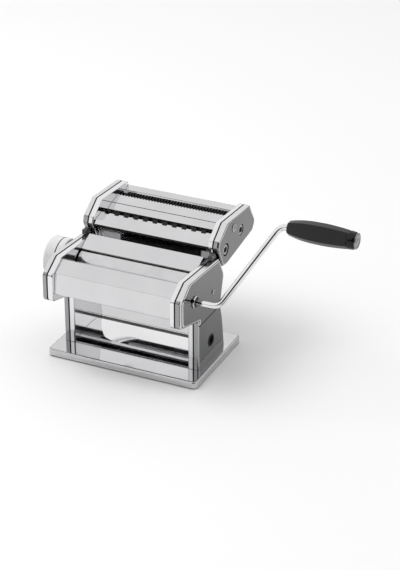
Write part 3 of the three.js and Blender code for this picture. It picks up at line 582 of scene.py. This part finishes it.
def buildCover(node, rim, face, openings):
    isLeft = node.startswith("left")
    deep = faceX - coverStart - pressed["straight"]
    innerRim, innerFace = insetOutline(rim, pressed["wall"]), insetOutline(face, pressed["wall"])
    rings = [(faceX - pressed["wall"], innerFace), (coverStart + pressed["straight"], innerRim)]
    start = coverStart + pressed["seam"]
    rings += [(start, innerRim), (start, rim)]
    for k in range(pressed["round"] + 1):
        angle = pi / 2 * k / pressed["round"]
        blended = [a.lerp(b, 1 - cos(angle)) for a, b in zip(rim, face)]
        rings.append((coverStart + pressed["straight"] + deep * sin(angle), blended))
    # a dark lip inside the seam: painted shade, a dark strip that makes the seam read as a deep gap
    near, far = (insetOutline(rim, distance) for distance in pressed["shadeLip"])
    lipStart, lipEnd = flangeEnd - pressed["lipBehind"], start + pressed["lipAhead"]
    shadeLip = loft([(lipStart, near), (lipEnd, near), (lipEnd, far), (lipStart, far)], isRing=True)
    piece = newObject(node + "_pressing", *mirroredX(joined([loft(rings), shadeLip]), isLeft))
    carve(piece, [mirroredX(opening, isLeft) for opening in openings])
    outward = -1 if isLeft else 1

    # painted shade and reflection: the groove, the fold line, the seam and the inner side get the near-black
    # steel, the flat face the darkened face chrome, and front-facing flanks the darker edge chrome
    def pick(centre, normal):
        out = (centre.x - midX) * outward
        isSunk = faceX - legGroove["shadeDeep"] < out < faceX - legGroove["shadeShallow"]
        inShadedGroove = isSunk and abs(centre.z - grooveMiddle) < legGroove["shadeHalf"]
        turn = (out - coverStart - pressed["straight"]) / deep
        isShadedFold = centre.z > legTop and pressed["foldShadeLine"][0] < turn < pressed["foldShadeLine"][1]
        if inShadedGroove or isShadedFold or out < start - 0.01:
            return 2
        if normal.x * outward > 0.9 and (turn > 0.998 or centre.z < legTop):
            return 1
        if out < faceX - 0.9 and normal.x * outward < -0.5:
            return 2
        return 3 if normal.y < -0.6 else 0

    finishes = [coverEdge, coverFaceShade, paintedShade, edgeShade]
    return dress(piece, node, finishes, bevel=0.15, pick=pick)


# the leg's face lies a little lower, under a narrow groove; the groove is also painted dark, as painted shade
legGroove = {"step": 0.5, "depth": 1.05, "width": 2.0,
             "shadeHalf": 1.15, "shadeDeep": 1.2, "shadeShallow": 0.05}
legTop = az - rr - 22.5
grooveMiddle = legTop - legGroove["width"] / 2


def travelSlot(y, z, radius, travel):
    low = (midX + webInner - 2, y - travel - radius, z - radius)
    high = (midX + webInner + 4, y + radius, z + radius)
    return boxMesh(low, high)


# radii of the holes, with the room and the way the rear roller has in its slots
bodyHoles = {"bush": 7.5, "journal": 5.0, "yoke": 2.5, "crank": 6.35, "clamp": 8.5, "screw": 2.05,
             "clearance": 0.35, "travel": 2.2}


def buildBodySides():
    h = bodyHoles
    clamp, coverScrew = middleOf("clamp_socket"), middleOf("right_cover_screw")
    yokeBar = middleOf("yoke_bar")
    openings = [
        rod(webInner - 2, webInner + 4, fy, az, h["bush"]),
        travelSlot(ry, az, h["journal"] + h["clearance"], h["travel"]),
        travelSlot(yokeBar.y, yokeBar.z, h["yoke"] + h["clearance"], h["travel"]),
    ]
    buildFrame("right_frame", bodyRim, openings)
    buildFrame("left_frame", bodyRim, openings)

    outside = midX + faceX + 1
    stepLow = (midX + faceX - legGroove["step"], legFront - 1, 0)
    grooveLow = (midX + faceX - legGroove["depth"], legFront + 1, legTop - legGroove["width"])
    step = boxMesh(stepLow, (outside, legBack + 1, legTop))
    groove = boxMesh(grooveLow, (outside, legBack + 1, legTop))
    through = (faceX - 4, faceX + 2)
    rightHoles = [
        step,
        groove,
        rod(*through, fy, az, h["crank"]),
        rod(*through, clamp.y, clamp.z, h["clamp"]),
        rod(*through, coverScrew.y, coverScrew.z, h["screw"]),
    ]
    buildCover("right_cover", bodyRim, bodyFace, rightHoles)
    buildCover("left_cover", bodyRim, bodyFace, [step, groove, rod(*through, ry, az, h["crank"])])


cutterHoles = {"journal": 4.35, "fine": 7.0, "wide": 8.0, "screw": 2.3}


def buildCutterSides():
    h = cutterHoles
    bores = []
    for node in slotNames["cutter_steel"]:
        centre = middleOf(node)
        bores.append(rod(webInner - 2, webInner + 4, centre.y, centre.z, h["journal"]))
    buildFrame("right_cutter_frame", cutterRim, bores)
    buildFrame("left_cutter_frame", cutterRim, bores)
    fine, wide = middleOf("fine_front_cutter"), middleOf("wide_front_cutter")
    screwPlace = middleOf("cutter_cover_screw")
    through = (faceX - 4, faceX + 2)
    holes = [
        rod(*through, fine.y, fine.z, h["fine"]),
        rod(*through, wide.y, wide.z, h["wide"]),
        rod(*through, screwPlace.y, screwPlace.z, h["screw"]),
    ]
    buildCover("right_cutter_cover", cutterRim, cutterFace, holes)
    buildCover("left_cutter_cover", cutterRim, cutterFace, [])


buildBodySides()
buildCutterSides()
print("side frames and covers done")

# Folded sheets

sheetSettings = {"thickness": 1.0, "bend": 1.6, "creaseHalf": 0.55, "creaseDepth": 0.5}


def buildSheet(node, line, inside, side=1, openings=(), creases=(), isPaintedDark=None):
    # inside is a point (y, z) that the inner side faces; that side and one face of each crease are painted
    # dark, as painted shade. The last argument picks outer stretches that get the darker sheet chrome, as
    # painted shade and reflection
    path = foldedLine(line, sheetSettings["bend"], creases)
    piece = stripPiece(node + "_fold", path, side * sheetSettings["thickness"])
    carve(piece, openings)

    def isShadedCrease(centre):
        corners = [Vector(line[i]) for i in creases]
        half = sheetSettings["creaseHalf"]
        return any((centre.yz - c).length < half and centre.y < c.x for c in corners)

    def pick(centre, normal):
        if isShadedCrease(centre):
            return 1
        if inside and (Vector(inside) - centre.yz).dot(normal.yz) > 0 and abs(normal.x) < 0.5:
            return 1
        return 2 if isPaintedDark and isPaintedDark(centre, normal) else 0

    return dress(piece, node, [brightSheet, paintedShade, paintedShadeSheet], bevel=0.15, pick=pick)


def cutterTeeth(path, pair, isRound):
    # notches in the rear edge of a sheet, one beside each disc
    edge, inwards = Vector(path[0]), (Vector(path[1]) - Vector(path[0])).normalized()
    notches = []
    pitch = pair["pitch"]
    count = floor((rollerHalf - pitch / 2) / pitch)
    for i in range(-count, count + 1):
        x = (i - 0.25) * pitch
        if abs(x) > sheetHalf - pitch / 2:
            continue
        if isRound:
            centre = edge
            verts, faces = turned([(0, 0), (0, pair["bite"]), (6, pair["bite"]), (6, 0)], 0, 0, 16)
            placed = [Vector((midX + x + v.y, centre.x + v.z, centre.y + v.x - midX - 3)) for v in verts]
            notches.append((placed, faces))
        else:
            half = pitch / 4 - 0.15
            y0, y1 = sorted((edge.x - inwards.x, edge.x + inwards.x * pair["bite"]))
            low = (midX + x - half, y0 - 1, edge.y - 4)
            notches.append(boxMesh(low, (midX + x + half, y1, edge.y + 4)))
    return notches


finePair = {"pitch": 4, "bite": 1.3}
widePair = {"pitch": 13, "bite": 1.5}


def buildSheets():
    buildSheet("front_cover", [
        (fy - 6.5, headTop + 3.2),
        (fy - 10.5, headTop + 8.7),
        (fy - rr - 13.2, headTop - 1.8),
        (fy - rr - 16.2, az - rr + 5.8),
        (fy - rr - 6.2, az - rr - 0.2),
    ], (fy, az), creases=[2])
    shorter = 1.5  # leaves a slot in front of the roller
    hopper = [(ry + 22.5, headTop + 10.7), (ry - 2.2 + shorter, headTop + 0.9 + shorter * 0.4)]
    buildSheet("hopper_sheet", hopper, None, -1)
    # the rear cover's upward-facing strip at the top gets the darker sheet chrome, a painted reflection
    buildSheet("rear_cover", [
        (ry + rr + 11.2, az - rr - 5),
        (ry + rr + 25.5, az - rr - 1),
        (ry + rr + 31.0, az - 2.5),
        (ry + rr + 18.5, headTop + 4.6),
        (ry + rr + 7.0, headTop + 9.6),
    ], (ry + rr, az), isPaintedDark=lambda centre, normal: centre.z > headTop + 3 and normal.z > 0.5)
    rear = [(66.9, 18.0), (74.0, 23.0), (84.6, 1.0), (79.5, -7.5)]
    middle = [(17.7, 12.8), (29.2, 16.8), (45.7, 20.8)]
    front = [(-6.3, -16.9), (-19.6, 8.0), (-16.2, 12.5), (1.1, 15.9)]
    for node, line, pair, creases in (
        ("rear_cutter_sheet", rear, None, []),
        ("middle_cutter_sheet", middle, finePair, [1]),
        ("front_cutter_sheet", front, widePair, [1]),
    ):
        placed = [(cy + y, cz + z) for y, z in line]
        notches = [joined(cutterTeeth(placed[::-1], pair, pair is finePair))] if pair else []
        isFront = node.startswith("front")
        # the front cutter sheet's underside gets the darker sheet chrome, as painted shade
        isPaintedDark = (lambda centre, normal: normal.z < -0.3) if isFront else None
        inside = (cy + 32, cz + 2) if pair else None
        buildSheet(node, placed, inside, -1, notches, creases, isPaintedDark)


buildSheets()
print("sheets done")

# Rollers and cutting rollers


def buildRollers():
    for node in ("front_roller", "rear_roller"):
        low, high = nodeBox(node)
        centre = middleOf(node)
        half, chamfer, journal = rollerHalf, 0.6, 5
        profile = [
            (low.x - midX, 0), (low.x - midX, journal - 0.4), (low.x - midX + 0.4, journal),
            (-half, journal), (-half, rr - chamfer), (-half + chamfer, rr),
            (half - chamfer, rr), (half, rr - chamfer), (half, journal),
            (high.x - midX - 0.4, journal), (high.x - midX, journal - 0.4), (high.x - midX, 0),
        ]
        piece = newObject(node + "_ground", *turned(profile, centre.y, centre.z, 96))
        dress(piece, node, [rollerMetal], sharpAngle=30)


cuttingSettings = {"disc": 10.2, "groove": 7.9, "journal": 4.0, "sideGap": 0.3, "chamfer": 0.2}


def buildCuttingRoller(node, pitch, isSecond):
    low, high = nodeBox(node)
    centre = middleOf(node)
    c = cuttingSettings
    half, bevel = rollerHalf, c["chamfer"]
    left, right = low.x - midX, high.x - midX
    profile = [(left, 0), (left, c["journal"]), (-half, c["journal"]), (-half, c["groove"])]
    disc = pitch / 2 - c["sideGap"]
    count = floor((half - pitch / 2) / pitch)
    for i in range(-count, count + 1):
        middle = (i + (0.25 if isSecond else -0.25)) * pitch
        start, end = middle - disc / 2, middle + disc / 2
        profile += [(start, c["groove"]), (start, c["disc"] - bevel), (start + bevel, c["disc"])]
        profile += [(end - bevel, c["disc"]), (end, c["disc"] - bevel), (end, c["groove"])]
    profile += [(half, c["groove"]), (half, c["journal"]), (right, c["journal"]), (right, 0)]
    piece = newObject(node + "_discs", *turned(profile, centre.y, centre.z, 40))
    dress(piece, node, [cutterSteel], sharpAngle=30)


buildRollers()
for pairName, pair in (("fine", finePair), ("wide", widePair)):
    buildCuttingRoller(pairName + "_front_cutter", pair["pitch"], False)
    buildCuttingRoller(pairName + "_rear_cutter", pair["pitch"], True)
print("rollers done")

# Crank, handle and cap

crank = {"radius": 3.85, "flats": 3.0, "flatLength": 18, "bend": 16, "sides": 28,
         "firstBend": 122.4, "secondBend": 177}
handleShape = [  # distance from the near end, and radius
    (0, 6.6), (0.8, 7.8), (2.5, 8.8), (6, 9.6), (12, 10.9), (19, 12), (30, 12.8), (45, 13), (56, 12.6),
    (66, 11.8), (73.5, 11.05), (73.9, 10.6), (75.1, 10.6), (75.5, 11.0), (80, 10.7), (82.2, 10.3), (83, 9.6),
]


def buildCrank():
    grip = middleOf("handle")
    start = nodeBox("crank_rod")[0].x
    corners = [
        Vector((start, fy, az)),
        Vector((midX + crank["firstBend"], fy, az)),
        Vector((midX + crank["secondBend"], grip.y, grip.z)),
        Vector((nodeBox("crank_rod")[1].x, grip.y, grip.z)),
    ]
    path, lengthwise = [corners[0]], 5
    for i in (1, 2):
        back = (corners[i - 1] - corners[i]).normalized()
        on = (corners[i + 1] - corners[i]).normalized()
        reach = crank["bend"] / tan(back.angle(on) / 2)
        first, last = corners[i] + back * reach, corners[i] + on * reach
        before = path[-1]
        path += [before.lerp(first, k / lengthwise) for k in range(1, lengthwise)]
        for k in range(19):
            t = k / 18
            path.append(first * (1 - t) ** 2 + corners[i] * 2 * t * (1 - t) + last * t ** 2)
    before = path[-1]
    path += [before.lerp(corners[3], k / lengthwise) for k in range(1, lengthwise + 1)]
    # a ring at the end of the flats, so that they stop cleanly
    flatEnd = start + crank["flatLength"]
    path = [p for p in path if not start < p.x < flatEnd + 1]
    path[1:1] = [Vector((start + 0.6, fy, az)), Vector((flatEnd, fy, az)), Vector((flatEnd + 0.5, fy, az))]

    bendPlane = Vector((0, grip.y - fy, grip.z - az)).normalized()
    sideways = Vector((1, 0, 0)).cross(bendPlane)
    rings = []
    for i, p in enumerate(path):
        tangent = (path[min(i + 1, len(path) - 1)] - path[max(i - 1, 0)]).normalized()
        across = sideways
        other = tangent.cross(across)
        radius = crank["radius"] - (0.6 if i in (0, len(path) - 1) else 0)
        ring = []
        for k in range(crank["sides"]):
            angle = 2 * pi * k / crank["sides"]
            v = p + (across * cos(angle) + other * sin(angle)) * radius
            if p.x <= flatEnd:
                v.z = az + max(-crank["flats"], min(crank["flats"], v.z - az))
            ring.append(v)
        rings.append(ring)
    verts = [v for ring in rings for v in ring]
    sides = crank["sides"]
    faces = [tuple(range(sides)), tuple(range(len(verts) - sides, len(verts)))]
    for r in range(len(rings) - 1):
        for k in range(sides):
            a, b = r * sides + k, r * sides + (k + 1) % sides
            faces.append((a, b, b + sides, a + sides))
    dress(newObject("crank_rod_bar", verts, faces), "crank_rod", [chrome], sharpAngle=40)


def buildHandle():
    low, high = nodeBox("handle")
    centre = (low + high) / 2
    steps, flats = 64, 8
    bore, rodSpace, depth = 4.3, 76.6, 5.3
    verts, faces = [], []
    profile = handleShape + [(83, 3.3), (83 - depth, 3.3), (83 - depth, 0)]
    profile = [(rodSpace, 0), (rodSpace, bore), (0, bore)] + profile
    rings = []
    for x, radius in profile:
        ring = []
        facets = 1.0 if radius > 6 and x < 74 else (0.25 if radius > 6 else 0.0)
        for k in range(steps):
            angle = 2 * pi * k / steps
            within = (angle + pi / 8) % (2 * pi / flats) - pi / flats
            flat = cos(pi / flats) / cos(within)
            r = radius * (1 - facets + facets * flat)
            ring.append(len(verts))
            verts.append(Vector((low.x + x, centre.y + r * cos(angle), centre.z + r * sin(angle))))
        rings.append(ring)
    for before, after in zip(rings, rings[1:]):
        for k in range(steps):
            n = (k + 1) % steps
            faces.append((before[k], before[n], after[n], after[k]))
    dress(newObject("handle_grip", verts, faces), "handle", [blackPlastic], sharpAngle=40)

    capLow, capHigh = nodeBox("handle_cap")
    outer = (capHigh.z - capLow.z) / 2
    x1 = capHigh.x - midX
    x0 = high.x - midX + 0.3
    capProfile = [
        (capLow.x - midX, 0), (capLow.x - midX, 3), (x0, 3), (x0, outer - 0.3), (x0 + 0.3, outer),
        (x1 - 0.9, outer), (x1 - 0.4, outer - 0.3), (x1 - 0.05, outer - 1.2), (x1 - 0.05, outer - 2.2),
        (x1 - 0.5, outer - 2.8), (x1 - 0.5, 3.6), (x1 - 0.1, 3.0), (x1, 0),
    ]
    piece = newObject("handle_cap_disc", *turned(capProfile, centre.y, centre.z, 56))
    dress(piece, "handle_cap", [capSteel], sharpAngle=40)


buildCrank()
buildHandle()
print("crank done")

# Thickness knob

knobSettings = {"pocket": 10.4, "bore": 6.35, "shoulder": 4.4, "wall": 3, "pinBore": 1.9,
                "groove": (8.0, 9.4)}  # distances from the cover side


def buildKnob():
    low, high = nodeBox("knob")
    centre = (low + high) / 2
    outer = (high.z - low.z) / 2
    length = high.x - low.x
    k = knobSettings
    # distances run from the cover outwards, which is towards -X
    def out(d):
        return high.x - midX - d
    near, far = k["groove"]
    bottom, shoulder = out(length - k["wall"]), out(k["shoulder"])
    profile = [
        (bottom, 0), (bottom, k["pocket"]), (shoulder, k["pocket"]),
        (shoulder, k["bore"]), (out(0), k["bore"]), (out(0), outer - 1.2), (out(0.3), outer - 0.5),
        (out(1.0), outer - 0.1), (out(2.0), outer), (out(near), outer),
        (out(near + 0.3), outer - 0.5), (out(far - 0.3), outer - 0.5),
        (out(far), outer), (out(length - 2.6), outer), (out(length - 1.2), outer - 0.4),
        (out(length - 0.4), outer - 1.2), (out(length - 0.05), outer - 2.4), (out(length - 0.05), outer - 5),
        (out(length - 0.8), outer - 6), (out(length - 0.8), 0),
    ]
    pinPlace = middleOf("index_pin")
    piece = newObject("knob_cup", *turned(profile, centre.y, centre.z, 72))
    pinBore = rod(out(8), out(-1), pinPlace.y, pinPlace.z, k["pinBore"], 24)
    carve(piece, [pinBore])

    # the knob's groove is painted black, as painted shade in the groove
    def pick(place, normal):
        distance = high.x - place.x
        return 1 if near < distance < far and (place - centre).yz.length > outer - 1 else 0

    dress(piece, "knob", [knobPlastic, blackPlastic], pick=pick, sharpAngle=35)


buildKnob()
print("knob done")

# Smaller pieces, refined from the frame's own solids


def refined(node, materials, bevel=0.15, pick=None):
    source = frame["nodes"][node]
    mesh = source.data.copy()
    mesh.name = node + "_part"
    mesh.materials.clear()
    work = bmesh.new()
    work.from_mesh(mesh)
    bmesh.ops.remove_doubles(work, verts=work.verts, dist=1e-6)
    bmesh.ops.dissolve_limit(work, angle_limit=radians(1), verts=work.verts, edges=work.edges)
    work.to_mesh(mesh)
    work.free()
    if "custom_normal" in mesh.attributes:
        mesh.attributes.remove(mesh.attributes["custom_normal"])
    piece = bpy.data.objects.new(node + "_part", mesh)
    scene.collection.objects.link(piece)
    return dress(piece, node, materials, bevel=bevel, pick=pick, sharpAngle=32)


def crossRecess(centre, x, size, width, deep):
    half = width / 2
    upright = boxMesh((x - deep, centre.y - half, centre.z - size), (x + 1, centre.y + half, centre.z + size))
    level = boxMesh((x - deep, centre.y - size, centre.z - half), (x + 1, centre.y + size, centre.z + half))
    return [upright, level]


screwShank = {"right_cover_screw": 1.75, "cutter_cover_screw": 2.0}


def buildScrews():
    for node, shank in screwShank.items():
        low, high = nodeBox(node)
        centre = (low + high) / 2
        head = (high.z - low.z) / 2
        x0, x1 = faceX + 0.3, high.x - midX
        dome = [(x0 + (x1 - x0) * sin(t * pi / 16), head * cos(t * pi / 16) ** 0.7) for t in range(8)]
        profile = [(low.x - midX, 0), (low.x - midX, shank), (x0, shank)] + dome + [(x1, 0)]
        piece = newObject(node + "_head", *turned(profile, centre.y, centre.z, 40))
        carve(piece, crossRecess(centre, high.x, head * 0.55, head * 0.2, 0.9))
        dress(piece, node, [plainSteel], bevel=0.06, sharpAngle=35)


buildScrews()
tubeRadius = 6.3


def socketPick(centre, normal):
    # a bright collar; the tube is painted dark, as painted shade inside the socket
    return 0 if (centre.yz - frontAxis.yz).length > tubeRadius else 1


refined("drive_socket", [chrome, paintedShade], pick=socketPick)
for node in ("rear_tie_rod", "cutter_tie_rod", "yoke_bar",
             "drive_gear", "driven_gear", "fine_drive_gear", "fine_driven_gear", "wide_drive_gear",
             "wide_driven_gear", "knob_shaft", "gap_cam", "index_pin"):
    refined(node, [plainSteel])
for node in ("cutter_rail", "cutter_hanger"):
    refined(node, [hangerSteel])
for node in ("clamp_socket", "left_bush", "right_bush"):
    refined(node, [darkNylon])
for node in ("left_hook", "right_hook"):
    refined(node, [hookNylon], 0.3)

# These keep the frame's own solids, with a finish of their own
for node, material in (
    ("front_scraper", plainSteel), ("rear_scraper", plainSteel), ("fine_comb", plainSteel),
    ("wide_comb", plainSteel), ("knob_spring", plainSteel),
    ("left_bearing_block", darkNylon), ("right_bearing_block", darkNylon),
):
    mesh = frame["nodes"][node].data
    mesh.materials.clear()
    mesh.materials.append(material)
print("small pieces done")

# Studio

studio = {"sky": 1.0, "band": 0.03, "bandLow": 0.2, "bandHigh": 0.34,
          "flagTowards": (0.53, -0.79, 0.30), "flagSpread": (0.68, 0.77), "floor": 0.95, "floorHalf": 6,
          "bandFront": (-0.60, -0.35), "softbox": 20, "softboxSize": (1.6, 1.2),
          "softboxPlace": (-1.3, -0.5, 2.0), "softboxTowards": (0, 0, 0.1),
          "cards": [  # middle, width, height, turn about Z in degrees, and tone
              ((0.13, -0.145, 0.045), 0.12, 0.08, 66, 0.30),
              ((-0.30, 0.50, 0.05), 1.8, 0.12, 0, 0.05),
          ]}


def buildStudio():
    world = bpy.data.worlds.new("studio")
    scene.world = world
    world.use_nodes = True
    tree = world.node_tree
    background = tree.nodes["Background"]
    background.inputs["Color"].default_value = (1, 1, 1, 1)
    place = tree.nodes.new("ShaderNodeTexCoord")
    split = tree.nodes.new("ShaderNodeSeparateXYZ")
    tree.links.new(place.outputs["Generated"], split.inputs["Vector"])

    def ranged(source, start, end, low, high):
        node = tree.nodes.new("ShaderNodeMapRange")
        node.interpolation_type = "SMOOTHSTEP"
        for socket, value in (("From Min", start), ("From Max", end), ("To Min", low), ("To Max", high)):
            node.inputs[socket].default_value = value
        tree.links.new(source, node.inputs["Value"])
        return node.outputs["Result"]

    def combined(operation, a, b):
        node = tree.nodes.new("ShaderNodeMath")
        node.operation = operation
        for socket, value in zip(node.inputs, (a, b)):
            if isinstance(value, float):
                socket.default_value = value
            else:
                tree.links.new(value, socket)
        return node.outputs["Value"]

    # a dark band above the front and a round flag beside it, which draw dark lines in folds and on the rod
    above = ranged(split.outputs["Z"], studio["bandLow"], studio["bandLow"] + 0.12, 0.0, 1.0)
    below = ranged(split.outputs["Z"], studio["bandHigh"], studio["bandHigh"] + 0.15, 1.0, 0.0)
    front = ranged(split.outputs["Y"], *studio["bandFront"], 1.0, 0.0)
    band = combined("MULTIPLY", combined("MULTIPLY", above, below), front)
    towards = tree.nodes.new("ShaderNodeVectorMath")
    towards.operation = "DOT_PRODUCT"
    towards.inputs[1].default_value = studio["flagTowards"]
    tree.links.new(place.outputs["Generated"], towards.inputs[0])
    disc = ranged(towards.outputs["Value"], *studio["flagSpread"], 0.0, 1.0)
    flag = combined("MAXIMUM", band, disc)
    level = combined("SUBTRACT", studio["sky"], combined("MULTIPLY", flag, studio["sky"] - studio["band"]))
    tree.links.new(level, background.inputs["Strength"])

    floorMesh = bpy.data.meshes.new("floor")
    size = studio["floorHalf"]
    corners = [(-size, -size, 0), (size, -size, 0), (size, size, 0), (-size, size, 0)]
    floorMesh.from_pydata(corners, [], [(0, 1, 2, 3)])
    floorPiece = bpy.data.objects.new("floor", floorMesh)
    scene.collection.objects.link(floorPiece)
    paper = bpy.data.materials.new("paper")
    paper.use_nodes = True
    shader = paper.node_tree.nodes["Principled BSDF"]
    shader.inputs["Base Color"].default_value = (studio["floor"],) * 3 + (1,)
    shader.inputs["Roughness"].default_value = 0.9
    shader.inputs["Specular IOR Level"].default_value = 0.1
    floorMesh.materials.append(paper)

    # dark cards beside the machine, seen only in its polished edges
    for i, (middle, width, height, angle, tone) in enumerate(studio["cards"]):
        card = bpy.data.materials.new("card_tone_%d" % i)
        card.use_nodes = True
        card.node_tree.nodes["Principled BSDF"].inputs["Base Color"].default_value = (tone, tone, tone, 1)
        mesh = bpy.data.meshes.new("card")
        corners = [(-width / 2, 0, -height / 2), (width / 2, 0, -height / 2)]
        corners += [(width / 2, 0, height / 2), (-width / 2, 0, height / 2)]
        stand = Matrix.Translation(middle) @ Matrix.Rotation(radians(angle), 4, "Z")
        mesh.from_pydata([stand @ Vector(c) for c in corners], [], [(0, 1, 2, 3)])
        mesh.materials.append(card)
        board = bpy.data.objects.new("card_%d" % i, mesh)
        scene.collection.objects.link(board)
        board.visible_camera = board.visible_diffuse = board.visible_shadow = False

    light = bpy.data.lights.new("softbox", "AREA")
    light.shape = "RECTANGLE"
    light.size, light.size_y = studio["softboxSize"]
    light.energy = studio["softbox"]
    lamp = bpy.data.objects.new("softbox", light)
    scene.collection.objects.link(lamp)
    lamp.visible_glossy = False
    lamp.location = studio["softboxPlace"]
    sight = Vector(studio["softboxTowards"]) - lamp.location
    lamp.rotation_euler = sight.to_track_quat("-Z", "Y").to_euler()
    scene.view_settings.view_transform = "Standard"


buildStudio()
print("studio done")
